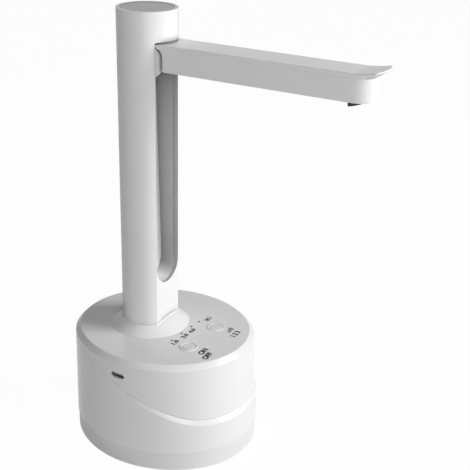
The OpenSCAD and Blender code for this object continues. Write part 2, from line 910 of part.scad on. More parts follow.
module pump_head() {
    color("dimgray")
    difference() {
        union() {
            pump_slice(valve_y1 + fit, head_y1);
            for (z = [suction_z, outlet_z]) rod_x(way_x, pump_barb_x, port_y, z, barb_r);
        }
        for (z = [suction_z, outlet_z]) {
            rod_x(way_x, pump_barb_x + over, port_y, z, barb_bore);
            rod_y(valve_y1, port_y + barb_bore, way_x, z, barb_bore);
        }
    }
}

module pump_screws() {
    length = head_l + valve_t + diaphragm_t + pump_screw_in;
    color("silver") at_lobes() translate([0, head_y1 + run, 0]) rotate([90, 0, 0])
        screw(0, pump_head_r, pump_head_h, lobe_bore, length);
}

module pump_cradle() {
    low = neck_roof + run;
    high = pump_z - cradle_drop;
    middle = (cradle_y0 + motor_y1) / 2;
    color("lightgray")
    difference() {
        translate([0, middle, 0]) side_extrude(motor_y1 - cradle_y0)
            polygon([[pump_x - cradle_foot, low], [pump_x + 2 * cradle_foot, low],
                     [pump_x + cradle_arm, high], [pump_x - cradle_arm, high]]);
        rod_y(motor_y0, head_y1, pump_x, pump_z, motor_r + fit);
    }
}

module drive_shaft() {
    color("silver") {
        rod_y(motor_y0 + shaft_back, cam_y1, pump_x, pump_z, shaft_r);
        rod_y(cam_y1 - cam_t, cam_y1, pump_x, pump_z + cam_off, cam_r);
    }
}

// Plan of the arm without its cover, drawn in by d
module arm_plan(d) {
    translate([pivot_x, -arm_w / 2 + d]) square([tip_x - pivot_x, arm_w - 2 * d]);
    translate([tip_x, 0]) circle(r = arm_w / 2 - d);
}

module arm_body() {
    top = plate_low - run;
    turn_x = lug_end - lug_block;
    color("white")
    difference() {
        union() {
            difference() {
                translate([0, 0, arm_low]) linear_extrude(height = top - arm_low) arm_plan(0);
                intersection() {
                    translate([0, 0, arm_low + arm_wall]) linear_extrude(height = arm_h) arm_plan(arm_wall);
                    box([lug_end, -arm_w, arm_low], [arm_reach, arm_w, arm_top]);
                }
                box([pivot_x - over, -arm_w, arm_low - over], [root_x, arm_w, pivot_z]);
                box([pivot_x - over, -arm_w, arm_low - over], [plate_back, arm_w, arm_top]);
                rod_y(-arm_w, arm_w, pivot_x, pivot_z, root_r);
            }
            side_extrude(2 * lug_out)
                polygon([[pivot_x, arm_low], [lug_end, arm_low], [lug_end, top], [plate_back + arm_wall, top],
                         [pivot_x, pivot_z + lug_r]]);
            rod_y(-lug_out, lug_out, pivot_x, pivot_z, lug_r);
            rod_x(lug_end - over, lug_end + barb_l, 0, arm_hose_z, barb_r);
        }
        box([pivot_x - lug_r - over, -lug_in, arm_low - over], [pivot_x + lug_neck, lug_in, arm_top]);
        rod_y(-arm_w, arm_w, pivot_x, pivot_z, spindle_r + run);
        rod_x(pivot_x, turn_x + way_r, feed_y, pivot_z, way_r);
        rod_y(0, feed_y, turn_x, pivot_z, way_r);
        rod_x(turn_x, lug_end + barb_l + over, 0, arm_hose_z, barb_bore);
        rod_z(arm_low - over, arm_low + arm_wall + over, [tip_x, 0], nozzle_r + fit);
    }
}

// Plan of the finger lip, round in front
module lip_plan() {
    intersection() {
        translate([lip_end - lip_r, 0]) circle(r = lip_r);
        translate([tip_x - over, -arm_w / 2]) square([lip_end - tip_x + over, arm_w]);
    }
}

// Front end of the cover: it leans out from the arm's round end to the rim of the lip
module finger_lip() {
    steps = 8;
    intersection() {
        hull() {
            translate([0, 0, plate_low]) linear_extrude(height = over)
                intersection() {
                    translate([tip_x, 0]) circle(d = arm_w);
                    translate([tip_x - over, -arm_w / 2]) square(arm_w);
                }
            translate([0, 0, arm_top + lip_rise - lip_edge]) linear_extrude(height = lip_edge) lip_plan();
        }
        side_extrude(2 * arm_w)
            polygon(concat([[tip_x - over, plate_low], [lip_end, plate_low]],
                [for (i = [steps : -1 : 0])
                    [tip_x + (lip_end - tip_x) * i / steps, arm_top + lip_rise * pow(i / steps, lip_bend)]],
                [[tip_x - over, arm_top]]));
    }
}

module arm_cover() {
    rail_y = arm_w / 2 - arm_wall - rail_t;
    color("white")
    difference() {
        union() {
            translate([0, 0, plate_low]) linear_extrude(height = arm_top - plate_low)
                polygon([[plate_back, flare_w / 2], [flare_x, arm_w / 2], [tip_x, arm_w / 2],
                         [tip_x, -arm_w / 2], [flare_x, -arm_w / 2], [plate_back, -flare_w / 2]]);
            finger_lip();
            for (s = [-1, 1])
                translate([lug_end + rail_gap, s * rail_y - rail_t / 2, plate_low - rail_h])
                    cube([tip_x - lug_end - 2 * rail_gap, rail_t, rail_h + over]);
        }
        rod_y(-arm_w, arm_w, pivot_x, pivot_z, root_r);
    }
}

module arm_hose() {
    color("lightsteelblue")
    difference() {
        rod_x(lug_end + fit, tip_x - nozzle_r - nozzle_rim - hose_off, 0, arm_hose_z, hose_r);
        rod_x(lug_end, tip_x, 0, arm_hose_z, barb_r + run);
    }
}

module nozzle() {
    low = arm_low - nozzle_out;
    seat = arm_low + arm_wall + run;
    color("black")
    difference() {
        union() {
            rod_z(low, arm_hose_z + hose_r, [tip_x, 0], nozzle_r);
            rod_z(seat, seat + nozzle_rim_t, [tip_x, 0], nozzle_r + nozzle_rim);
            rod_x(tip_x - nozzle_r - barb_l, tip_x, 0, arm_hose_z, barb_r);
        }
        rod_x(tip_x - nozzle_r - barb_l - over, tip_x, 0, arm_hose_z, barb_bore);
        rod_z(low - over, arm_hose_z + barb_bore + over, [tip_x, 0], nozzle_r - nozzle_wall);
        translate([tip_x - nozzle_r, 0, low + over]) rotate([0, -nozzle_tilt, 0])
            box([-arm_w, -arm_w, -arm_w], [2 * arm_w, arm_w, 0]);
    }
}

// Button cap with its rim under the top and its stem on the switch's plunger
module button(at) {
    rim_top = top_in - gap;
    color("whitesmoke") {
        rod_z(rim_top - over, base_h + button_proud, at, button_r);
        rod_z(rim_top - button_rim_t, rim_top, at, button_r + button_rim);
        rod_z(plunger_top + run / 2, rim_top - button_rim_t + over, at, stem_r);
    }
}

module plunger(at) {
    color("black") rod_z(board_top + switch_floor + button_travel + gap, plunger_top, at, plunger_r);
}

module flow_button() {
    button(flow_button_at);
}

module flow_plunger() {
    plunger(flow_button_at);
}

module volume_button() {
    button(volume_button_at);
}

module volume_plunger() {
    plunger(volume_button_at);
}

bottom_cover();
foot_ring();
cover_screws();
lower_shell();
upper_shell();
collar();
column_tube();
column_screws();
slot_trough();
column_cap();
inlet_fitting();
suction_hose();
delivery_hose();
swivel_spindle();
spindle_seals();
battery_cell();
battery_cradle();
circuit_board();
board_screws();
charge_socket();
tact_switches();
light_guide();
motor_can();
motor_end_bell();
pump_case();
rocker();
diaphragm();
valve_plate();
pump_head();
pump_screws();
pump_cradle();
drive_shaft();
arm_body();
arm_cover();
arm_hose();
nozzle();
flow_button();
flow_plunger();
volume_button();
volume_plunger();
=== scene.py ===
import json
import math

import bmesh
import bpy
from bpy.props import FloatProperty, FloatVectorProperty, IntProperty, PointerProperty
from mathutils import Matrix, Vector


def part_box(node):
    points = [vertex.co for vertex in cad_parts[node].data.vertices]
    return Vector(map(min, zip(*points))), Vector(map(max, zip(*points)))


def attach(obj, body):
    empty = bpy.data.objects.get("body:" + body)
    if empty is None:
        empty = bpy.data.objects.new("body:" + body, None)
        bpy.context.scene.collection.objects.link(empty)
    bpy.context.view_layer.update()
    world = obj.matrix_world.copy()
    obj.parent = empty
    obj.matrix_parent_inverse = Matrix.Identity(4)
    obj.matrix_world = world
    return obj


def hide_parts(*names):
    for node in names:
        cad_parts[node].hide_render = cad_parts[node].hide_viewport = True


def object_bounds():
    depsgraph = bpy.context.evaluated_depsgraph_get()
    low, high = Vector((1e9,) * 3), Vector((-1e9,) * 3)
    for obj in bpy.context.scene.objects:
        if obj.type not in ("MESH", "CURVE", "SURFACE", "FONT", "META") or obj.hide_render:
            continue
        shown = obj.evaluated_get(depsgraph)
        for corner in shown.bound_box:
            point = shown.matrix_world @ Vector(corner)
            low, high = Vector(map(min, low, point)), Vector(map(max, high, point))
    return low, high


bl_info = {
    "name": "Jug pump finish",
    "version": (1, 0, 0),
    "blender": (4, 5, 0),
    "location": "3D View > Sidebar > Jug Pump",
    "description": "Finished surfaces, printed marks and studio stage of an electric water jug pump",
    "category": "Object",
}

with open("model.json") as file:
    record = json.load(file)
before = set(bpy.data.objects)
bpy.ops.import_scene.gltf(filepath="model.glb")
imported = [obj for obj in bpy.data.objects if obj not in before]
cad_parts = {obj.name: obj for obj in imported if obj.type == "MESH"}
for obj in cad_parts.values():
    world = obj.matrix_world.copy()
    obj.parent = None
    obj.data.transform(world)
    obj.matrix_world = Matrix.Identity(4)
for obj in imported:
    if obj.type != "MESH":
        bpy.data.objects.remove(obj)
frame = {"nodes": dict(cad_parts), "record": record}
CAD_BOX = [list(corner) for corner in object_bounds()]

MM = 0.001

# Base oval and shells, in millimetres, as the frame has them, apart from the wider gap at the seam
HALF_L = 56.5
HALF_W = 50.0
END_FALL = 4.0
BASE_TOP = 68.0
FOOT_H = 11.0
DRAFT = math.tan(math.radians(0.7))
LEDGE = 2.0
LEDGE_BEND = 2.5
BEVEL_H = 2.6
EDGE_BEVEL = 2.8
LOWER_WALL = 3.1
SHELL_IN = 4.6
TOP_T = 2.6
TOP_FLAT = 1.0
SEAM_LIP = 5.0
SEAM_GAP = 0.28
FIT = 0.1

# Edges of the bottom cover that are further out than this are its rim's
RIM_R = 46.0
RIM_ROUND = 0.25

# Openings in the base: gaps round the pieces in them, flares at the top, and how far the tools reach past the wall
BUTTON_GAP = 0.06
BUTTON_FLARE = 0.05
LAMP_GAP = 0.05
LAMP_FLARE = 0.08
HOLE_STEPS = 64
HOLE_OVER = 0.5
PORT_GAP = 0.08
PORT_STEPS = 48
PORT_OUT = 1.0
PORT_IN = 3.0

# Seam line of the two shells: a slope between an arc in front and one at the back
SEAM_DROP = 18.0
SEAM_MID = BASE_TOP - SEAM_DROP
SEAM_SLOPE = math.radians(24.4)
SEAM_FRONT_L = 25.0
SEAM_FRONT = HALF_L - SEAM_FRONT_L
SEAM_BACK = -5.0
SEAM_PAST = 2.2
FRONT_RUN = 24.0
FRONT_R = FRONT_RUN / math.sin(SEAM_SLOPE)
BACK_R = (HALF_L + SEAM_PAST + SEAM_BACK) / math.sin(SEAM_SLOPE)

# Column with its slot and flat, and the cap in its rim
COL_X = -11.0
COL_R = 16.7
SLOT_HALF = 11.5
FLAT_X = math.sqrt(COL_R ** 2 - SLOT_HALF ** 2)
CAP_ROUND = 0.2
CAP_STEPS = 160

# Top of the column's flat in the solids, where its corners are, and how much lower the brow above it comes here
FLAT_TOP = 241.0
BROW_NEAR = 0.6
BROW_X = 0.8
BROW_MORE = 1.1

# Edges in front of this and this near the hinge's height are those of the column's ears
EARS_X = 1.2
EARS_REACH = 11.0

# Collar: its steps round, the step at its foot, its rim, and how it closes up to the column
COLLAR_R = 23.1
COLLAR_H = 4.3
COLLAR_STEPS = 288
COLLAR_FLOAT = 0.05
COLLAR_STEP = 0.12
COLLAR_RIM = 0.9
COLLAR_RADII = (0, 0.05, 0.1, 0)
COLLAR_LIFT = 0.25
COLLAR_FIT = 0.02
FILLET = 0.85
FILLET_STEPS = 6

# Buttons with their flange, stem and dish, and lamps
BUTTON_R = 5.15
BUTTON_MORE = 0.15
BUTTON_FLOAT = 0.35
BUTTON_STEPS = 96
BUTTON_RADII = (0, 0.15, 0.2, 0.2, 0.2, 0.1, 0.15, 0.5)
STEM_R = 2.0
FLANGE_T = 1.8
FLANGE_MORE = 0.9
DISH_R = BUTTON_R * 0.8
DISH_DEPTH = 0.03
DISH_STEPS = 5
BUTTONS = {"flow_button": (25.4, -16.2), "volume_button": (27.3, 12.3)}
LAMPS = ((13.2, -14.8), (13.6, -4.6), (14.2, 5.5), (15.0, 13.0))
LAMP_R = 0.8
LAMP_RISE = 0.2
LAMP_SET = 0.05
LENS_STEPS = 32
LENS_RINGS = 16

# Spout arm
PIVOT = (-5.1, 229.5)
ROOT_R = 10.35
ARM_TOP = 239.0
ARM_LOW = 224.6
ARM_HALF = 10.0
PLATE_LOW = 236.6
PLATE_BACK = 1.2
FLARE_HALF = 11.2
FLARE_L = 8.0
FLARE_X = PLATE_BACK + FLARE_L
TIP_X = 112.0
HINGE_STEPS = 96
LIP_END = 127.2
LIP_R = 16.0
LIP_RISE = 2.35
LIP_EDGE = 0.6
LIP_BEND = 1.5
LIP_TURN = (0.6, 0.8)
LIP_SIDE_STEPS = 10
LIP_FRONT_STEPS = 16
COVER_SKIRT = 1.2
COVER_FADE = 3
COVER_STEPS = 4

# Nozzle, how much longer it is here than in the solids, and the pocket for it in the trough
NOZZLE_MORE = 1.2
NOZZLE_TOP = ARM_LOW + 0.6
POCKET_R = 6.75
POCKET_GAP = 0.25
POCKET_STEPS = 64

# Printed marks: words with their middle, width and height, corners of the battery's lines, and the level bars
WORDS = (("1.0", (16.0, -15.7), 5.6, 2.8), ("2.0", (16.8, -6.4), 5.6, 2.8), ("4.0", (17.2, 1.2), 5.6, 2.8),
         ("ON", (35.2, -16.5), 7.2, 3.9), ("OFF", (39.9, -19.6), 8.0, 3.9), ("1 2 3", (41.2, 11.2), 7.4, 3.6))
WORD_WEIGHT = 0.055
WORD_STEPS = 6
SLABS = ((16.6, 17.0, 16.4, 21.0), (19.0, 19.4, 16.4, 21.0), (17.0, 19.0, 16.4, 16.8), (17.0, 19.0, 20.6, 21.0),
         (17.3, 18.7, 17.1, 19.2), (17.5, 18.5, 21.0, 21.7))
BAR_AT = (37.6, 11.4)
BAR_PITCH = 2.0
BAR_COUNT = 3
BAR_W = 1.2
BAR_FIRST = 1.6
BAR_GROWTH = 0.95

# Stage, in metres: lamps by turn, height in degrees and size, at one distance from the object's middle
MIDDLE = (0.03, 0, 0.13)
LAMP_REACH = 1.1
STUDIO = (("key", 20, 26, 0.5), ("fill", -50, 15, 0.6), ("side", -110, 10, 0.5))
FLOOR_REACH = 4.0
FLOOR_DROP = 0.0001
PAPER_TONE = 0.6
PAPER_WHITE = 0.975
CAMERA_AT = (0.282859, -0.442531, 0.352758)
CAMERA_RIGHT = (0.876205, 0.481408, 0.02261)
CAMERA_UP = (-0.208505, 0.336365, 0.91836)
SENSOR = 36.0
CLIP = (0.01, 20)

# Finishes: gloss of the white shells; painted shade that darkens their gaps and hollows, in the order of the painted
# shade group's inputs, with its gain, samples and side-wall mask; painted shade towards the rim of the view; and grain
GLOSSY = (0.26, 0.38)
PAINTED_SHADE_INPUTS = ("Gap reach", "Gap depth", "Hollow reach", "Hollow depth", "Sides only")
# Painted shade from ambient occlusion on the shells, on the column and on the slot's lining, where only the side walls
# darken
SHELL_PAINTED_SHADE = (0.006, 0.8, 0.01, 0.0, 0.0)
COLUMN_PAINTED_SHADE = (0.006, 1.8, 0.04, 1.5, 0.0)
LINING_PAINTED_SHADE = (0.06, 0.6, 0.04, 0.3, 1.0)
# Gain and samples of the occlusion behind the painted shade
OPEN_GAIN = 1.1
OPEN_SAMPLES = 8
# Painted shade on side walls only: full where the normal lies this far along Y, none from here down
SIDE_FULL = 0.9
SIDE_NONE = 0.3
# Painted shade towards the rim of the view: from this facing on, the colour falls to this share
RIM_FROM = 0.7
RIM_PAINTED_SHADE = 0.5
GRAIN = 900.0
GRAIN_DETAIL = 3.0
PATCH = 35.0
PATCH_DETAIL = 2.0
GRAIN_SHARE = 0.25
TONE_LOW = 0.3
TONE_HIGH = 0.7
BUMP_STRENGTH = 0.35
COAT_ROUGH = 0.12

# Rounding of corners and edges, with the shares of the edge rounding on fine edges and on the column's
ROUND_STEPS = 4
ROUND_SHARE = 0.45
EDGE_STEPS = 2
EDGE_PROFILE = 0.5
FINE_EDGE = 0.5
COLUMN_EDGE = 0.8

# Angles in degrees from which edges stay sharp in the shading, and up to which faces count as one plane
SHARP = 30.0
SHELL_SHARP = 32.0
COVER_SHARP = 40.0
ONE_PLANE = 0.3
FACE_WEIGHT = 100

# Distances in metres up to which points are one: in copies of the solids, in new pieces and in the printed marks
SOLID_MERGE = 2e-6
PIECE_MERGE = 1e-7
MARK_MERGE = 1e-8

# Radius in millimetres under which a point of an outline is on the axis
ON_AXIS = 1e-6

# The oval's arcs: two ends and two sides that meet where their normals are alike
END_R = HALF_W - END_FALL
END_X = HALF_L - END_R
SIDE_Y = (END_X * END_X - END_FALL * END_FALL) / (2 * END_FALL)
SIDE_R = HALF_W + SIDE_Y
END_COS = math.cos(math.atan2(SIDE_Y, END_X))


def oval_point(angle, out):
    """Point of the base's oval whose normal is at this angle, moved out"""
    c, s = math.cos(angle), math.sin(angle)
    if abs(c) >= END_COS:
        return math.copysign(END_X, c) + (END_R + out) * c, (END_R + out) * s
    return (SIDE_R + out) * c, (SIDE_R + out) * s - math.copysign(SIDE_Y, s)


def wall_in(z):
    """How far the drafted wall is in at a height"""
    return DRAFT * (z - FOOT_H)


def ledge_in(angle):
    """How far the ledge goes in: nothing at the back, all of it in front"""
    return LEDGE * ((1 + math.cos(angle)) / 2) ** LEDGE_BEND


def curve_rise(r, x):
    """How far the seam's end arc is past its sloping start"""
    return r * (math.cos(math.asin(math.sin(SEAM_SLOPE) - x / r)) - math.cos(SEAM_SLOPE))


def seam_z(x):
    """Height of the seam between the shells at a distance along the base"""
    slope = SEAM_MID - math.tan(SEAM_SLOPE) * min(max(x, SEAM_BACK), SEAM_FRONT)
    if x > SEAM_FRONT:
        return slope - curve_rise(FRONT_R, x - SEAM_FRONT)
    if x < SEAM_BACK:
        return slope + curve_rise(BACK_R, SEAM_BACK - x)
    return slope


def rounded(points, radii):
    """Closed outline with its corners rounded; a radius of 0 keeps the corner"""
    out = []
    count = len(points)
    for i, (p, r) in enumerate(zip(points, radii)):
        if r == 0:
            out.append(p)
            continue
        p = Vector(p)
        before, after = Vector(points[i - 1]) - p, Vector(points[(i + 1) % count]) - p
        a = p + before.normalized() * min(r, before.length * ROUND_SHARE)
        b = p + after.normalized() * min(r, after.length * ROUND_SHARE)
        for k in range(ROUND_STEPS + 1):
            t = k / ROUND_STEPS
            out.append(tuple((1 - t) ** 2 * a + 2 * t * (1 - t) * p + t * t * b))
    return out


def loft(rings):
    """Points and quads of a closed band of rings that are closed themselves"""
    n, k = len(rings), len(rings[0])
    points = [p for ring in rings for p in ring]
    faces = [(i * k + j, (i + 1) % n * k + j, (i + 1) % n * k + (j + 1) % k, i * k + (j + 1) % k)
             for i in range(n) for j in range(k)]
    return points, faces


def turned(outline, centre, steps):
    """Points and faces of a closed outline (radius, height) turned about an upright axis"""
    points, faces = [], []
    rows = []
    for r, z in outline:
        if r < ON_AXIS:
            rows.append([len(points)] * steps)
            points.append((centre[0], centre[1], z))
            continue
        rows.append([len(points) + i for i in range(steps)])
        for i in range(steps):
            a = 2 * math.pi * i / steps
            points.append((centre[0] + r * math.cos(a), centre[1] + r * math.sin(a), z))
    for j in range(len(rows)):
        low, high = rows[j], rows[(j + 1) % len(rows)]
        for i in range(steps):
            m = (i + 1) % steps
            face = []
            for v in (low[i], low[m], high[m], high[i]):
                if v not in face:
                    face.append(v)
            if len(face) > 2:
                faces.append(face)
    return points, faces


def circle(r, centre, steps):
    """Points of a circle in its plane"""
    angles = [2 * math.pi * i / steps for i in range(steps)]
    return [(centre[0] + r * math.cos(a), centre[1] + r * math.sin(a)) for a in angles]


def prism(name, rings, material):
    """Closed piece between two like rings"""
    points, faces = loft(rings)
    n = len(rings[0])
    return piece(name, (points, faces[:n] + [tuple(range(n)), tuple(range(n, 2 * n))]), material)


def piece(name, shape, material, sharp=SHELL_SHARP):
    """New object from points in millimetres and faces, with its faces turned outwards"""
    points, faces = shape
    mesh = bpy.data.meshes.new(name)
    mesh.from_pydata([Vector(p) * MM for p in points], [], faces)
    bm = bmesh.new()
    bm.from_mesh(mesh)
    bmesh.ops.remove_doubles(bm, verts=bm.verts, dist=PIECE_MERGE)
    bmesh.ops.recalc_face_normals(bm, faces=bm.faces)
    bm.to_mesh(mesh)
    bm.free()
    return placed(name, mesh, material, sharp)


def placed(name, mesh, material, sharp):
    """New object in the scene with a mesh in one material"""
    obj = bpy.data.objects.new(name, mesh)
    bpy.context.scene.collection.objects.link(obj)
    mesh.materials.clear()
    mesh.materials.append(material)
    shade(obj, sharp)
    return obj


def shade(obj, sharp):
    """Smooth shading between sharp edges, with the wide faces leading the normals"""
    mesh = obj.data
    mesh.polygons.foreach_set("use_smooth", [True] * len(mesh.polygons))
    mesh.set_sharp_from_angle(angle=math.radians(sharp))
    mesh.update()
    weigh = obj.modifiers.new("weigh", "WEIGHTED_NORMAL")
    weigh.mode = "FACE_AREA"
    weigh.weight = FACE_WEIGHT
    weigh.keep_sharp = True
    settle(obj)


def cut(obj, tools):
    """Cuts the tools out of the piece and removes them"""
    for tool in tools:
        modifier = obj.modifiers.new("cut", "BOOLEAN")
        modifier.operation = "DIFFERENCE"
        modifier.solver = "EXACT"
        modifier.object = tool
        settle(obj)
        bpy.data.objects.remove(tool)


def settle(obj):
    """Turns the piece with its modifiers into a plain mesh"""
    graph = bpy.context.evaluated_depsgraph_get()
    mesh = bpy.data.meshes.new_from_object(obj.evaluated_get(graph), depsgraph=graph)
    obj.modifiers.clear()
    obj.data = mesh


def polished(name, node, material, width, where=None):
    """Copy of a frame node with its coplanar faces joined and its edges rounded, all or those where told"""
    bm = bmesh.new()
    bm.from_mesh(frame["nodes"][node].data)
    bmesh.ops.remove_doubles(bm, verts=bm.verts, dist=SOLID_MERGE)
    bmesh.ops.dissolve_limit(bm, angle_limit=math.radians(ONE_PLANE), verts=bm.verts, edges=bm.edges)
    edges = [e for e in bm.edges if e.is_manifold and e.calc_face_angle() > math.radians(SHARP)]
    if where:
        edges = [e for e in edges if where((e.verts[0].co + e.verts[1].co) / (2 * MM))]
    bmesh.ops.bevel(bm, geom=edges, offset=width * MM, offset_type="OFFSET", segments=EDGE_STEPS,
                    profile=EDGE_PROFILE, affect="EDGES", clamp_overlap=True)
    mesh = bpy.data.meshes.new(name)
    bm.to_mesh(mesh)
    bm.free()
    return placed(name, mesh, material, SHARP)


def geometry_tree(name, inputs):
    """New geometry tree with these inputs, and its input and output nodes"""
    tree = bpy.data.node_groups.new(name, "GeometryNodeTree")
    tree.interface.new_socket("Points", in_out="INPUT", socket_type="NodeSocketGeometry")
    for label, kind in inputs:
        tree.interface.new_socket(label, in_out="INPUT", socket_type=kind)
    tree.interface.new_socket("Pieces", in_out="OUTPUT", socket_type="NodeSocketGeometry")
    return tree, tree.nodes.new("NodeGroupInput"), tree.nodes.new("NodeGroupOutput")


def instanced(tree, part, inp, out, scale=None):
    """Ends a geometry tree: the part on each point, realised, in the material"""
    spread = tree.nodes.new("GeometryNodeInstanceOnPoints")
    real, paint = tree.nodes.new("GeometryNodeRealizeInstances"), tree.nodes.new("GeometryNodeSetMaterial")
    link = tree.links.new
    link(inp.outputs["Points"], spread.inputs["Points"])
    link(part, spread.inputs["Instance"])
    if scale:
        link(scale, spread.inputs["Scale"])
    link(spread.outputs["Instances"], real.inputs["Geometry"])
    link(real.outputs["Geometry"], paint.inputs["Geometry"])
    link(inp.outputs["Material"], paint.inputs["Material"])
    link(paint.outputs["Geometry"], out.inputs["Pieces"])


def lens_tree():
    """Geometry tree: a low dome on each point"""
    tree, inp, out = geometry_tree("dome_on_points", (
        ("Radius", "NodeSocketFloat"), ("Rise", "NodeSocketFloat"), ("Material", "NodeSocketMaterial")))
    ball, press = tree.nodes.new("GeometryNodeMeshUVSphere"), tree.nodes.new("GeometryNodeTransform")
    scale = tree.nodes.new("ShaderNodeCombineXYZ")
    ball.inputs["Segments"].default_value = LENS_STEPS
    ball.inputs["Rings"].default_value = LENS_RINGS
    ball.inputs["Radius"].default_value = 1.0
    link = tree.links.new
    for axis, label in (("X", "Radius"), ("Y", "Radius"), ("Z", "Rise")):
        link(inp.outputs[label], scale.inputs[axis])
    link(ball.outputs["Mesh"], press.inputs["Geometry"])
    link(scale.outputs["Vector"], press.inputs["Scale"])
    instanced(tree, press.outputs["Geometry"], inp, out)
    return tree


def bars_tree():
    """Geometry tree: a bar on each point, each longer than the one before"""
    tree, inp, out = geometry_tree("rising_bars", (
        ("Width", "NodeSocketFloat"), ("First", "NodeSocketFloat"), ("Growth", "NodeSocketFloat"),
        ("Thickness", "NodeSocketFloat"), ("Material", "NodeSocketMaterial")))
    cube, move = tree.nodes.new("GeometryNodeMeshCube"), tree.nodes.new("GeometryNodeTransform")
    index, length = tree.nodes.new("GeometryNodeInputIndex"), tree.nodes.new("ShaderNodeMath")
    scale = tree.nodes.new("ShaderNodeCombineXYZ")
    move.inputs["Translation"].default_value = (-0.5, 0.0, 0.5)
    length.operation = "MULTIPLY_ADD"
    link = tree.links.new
    link(cube.outputs["Mesh"], move.inputs["Geometry"])
    link(index.outputs["Index"], length.inputs[0])
    link(inp.outputs["Growth"], length.inputs[1])
    link(inp.outputs["First"], length.inputs[2])
    link(length.outputs[0], scale.inputs["X"])
    link(inp.outputs["Width"], scale.inputs["Y"])
    link(inp.outputs["Thickness"], scale.inputs["Z"])
    instanced(tree, move.outputs["Geometry"], inp, out, scale.outputs["Vector"])
    return tree


def grown(name, points, tree, values):
    """Object with a geometry tree on points in millimetres, settled to a plain mesh"""
    mesh = bpy.data.meshes.new(name)
    mesh.from_pydata([Vector(p) * MM for p in points], [], [])
    obj = bpy.data.objects.new(name, mesh)
    bpy.context.scene.collection.objects.link(obj)
    modifier = obj.modifiers.new(tree.name, "NODES")
    modifier.node_group = tree
    for item in tree.interface.items_tree:
        if item.in_out == "INPUT" and item.name in values:
            modifier[item.identifier] = values[item.name]
    settle(obj)
    return obj


def moulding_group():
    """Shader group: fine mould grain with a slow change of tone and gloss over the surface"""
    name = "moulded_skin"
    if name in bpy.data.node_groups:
        return bpy.data.node_groups[name]
    tree = bpy.data.node_groups.new(name, "ShaderNodeTree")
    for label, value in (("Grain size", GRAIN), ("Patch size", PATCH), ("Rough low", 0.3), ("Rough high", 0.4)):
        socket = tree.interface.new_socket(label, in_out="INPUT", socket_type="NodeSocketFloat")
        socket.default_value = value
    for label in ("Tone", "Roughness", "Height"):
        tree.interface.new_socket(label, in_out="OUTPUT", socket_type="NodeSocketFloat")
    n, link = tree.nodes, tree.links.new
    inp, out = n.new("NodeGroupInput"), n.new("NodeGroupOutput")
    place = n.new("ShaderNodeTexCoord")
    grain, patch = n.new("ShaderNodeTexNoise"), n.new("ShaderNodeTexNoise")
    grain.inputs["Detail"].default_value = GRAIN_DETAIL
    patch.inputs["Detail"].default_value = PATCH_DETAIL
    for node, label in ((grain, "Grain size"), (patch, "Patch size")):
        link(place.outputs["Object"], node.inputs["Vector"])
        link(inp.outputs[label], node.inputs["Scale"])
    mix = n.new("ShaderNodeMath")
    mix.operation = "MULTIPLY_ADD"
    mix.inputs[1].default_value = GRAIN_SHARE
    scaled = n.new("ShaderNodeMath")
    scaled.operation = "MULTIPLY"
    scaled.inputs[1].default_value = 1 - GRAIN_SHARE
    link(patch.outputs["Fac"], scaled.inputs[0])
    link(grain.outputs["Fac"], mix.inputs[0])
    link(scaled.outputs[0], mix.inputs[2])
    rough = n.new("ShaderNodeMapRange")
    rough.inputs["From Min"].default_value = TONE_LOW
    rough.inputs["From Max"].default_value = TONE_HIGH
    link(mix.outputs[0], rough.inputs["Value"])
    link(inp.outputs["Rough low"], rough.inputs["To Min"])
    link(inp.outputs["Rough high"], rough.inputs["To Max"])
    link(mix.outputs[0], out.inputs["Tone"])
    link(rough.outputs["Result"], out.inputs["Roughness"])
    link(grain.outputs["Fac"], out.inputs["Height"])
    return tree


def painted_shade_group():
    """Shader group of painted shade from ambient occlusion: 1 on open surfaces, less in narrow gaps and in a hollow of
    the piece, or of its side walls only
    """
    name = "recess_mask"
    if name in bpy.data.node_groups:
        return bpy.data.node_groups[name]
    tree = bpy.data.node_groups.new(name, "ShaderNodeTree")
    for label in PAINTED_SHADE_INPUTS:
        tree.interface.new_socket(label, in_out="INPUT", socket_type="NodeSocketFloat")
    tree.interface.new_socket("Open", in_out="OUTPUT", socket_type="NodeSocketFloat")
    n, link = tree.nodes, tree.links.new
    inp, out, both = n.new("NodeGroupInput"), n.new("NodeGroupOutput"), n.new("ShaderNodeMath")
    both.operation = "MULTIPLY"
    for i, (label, local) in enumerate((("Gap", False), ("Hollow", True))):
        near = n.new("ShaderNodeAmbientOcclusion")
        clear, bend = n.new("ShaderNodeMath"), n.new("ShaderNodeMath")
        near.only_local = local
        near.samples = OPEN_SAMPLES
        clear.operation = "MULTIPLY"
        clear.use_clamp = True
        clear.inputs[1].default_value = OPEN_GAIN
        bend.operation = "POWER"
        link(inp.outputs[label + " reach"], near.inputs["Distance"])
        link(near.outputs["AO"], clear.inputs[0])
        link(clear.outputs[0], bend.inputs[0])
        link(inp.outputs[label + " depth"], bend.inputs[1])
        link(bend.outputs[0], both.inputs[i])
    # Where Sides only is 1, the painted shade stays on faces that point along Y and leaves the others open
    place, split = n.new("ShaderNodeTexCoord"), n.new("ShaderNodeSeparateXYZ")
    side, front, open_ = n.new("ShaderNodeMath"), n.new("ShaderNodeMapRange"), n.new("ShaderNodeMix")
    side.operation = "ABSOLUTE"
    front.inputs["From Min"].default_value = SIDE_FULL
    front.inputs["From Max"].default_value = SIDE_NONE
    open_.inputs["B"].default_value = 1.0
    link(place.outputs["Normal"], split.inputs["Vector"])
    link(split.outputs["Y"], side.inputs[0])
    link(side.outputs[0], front.inputs["Value"])
    link(inp.outputs["Sides only"], front.inputs["To Max"])
    link(front.outputs["Result"], open_.inputs["Factor"])
    link(both.outputs[0], open_.inputs["A"])
    link(open_.outputs["Result"], out.inputs["Open"])
    return tree


def srgb(level):
    """Linear value of a display grey or colour from 0 to 1"""
    return level / 12.92 if level <= 0.04045 else ((level + 0.055) / 1.055) ** 2.4


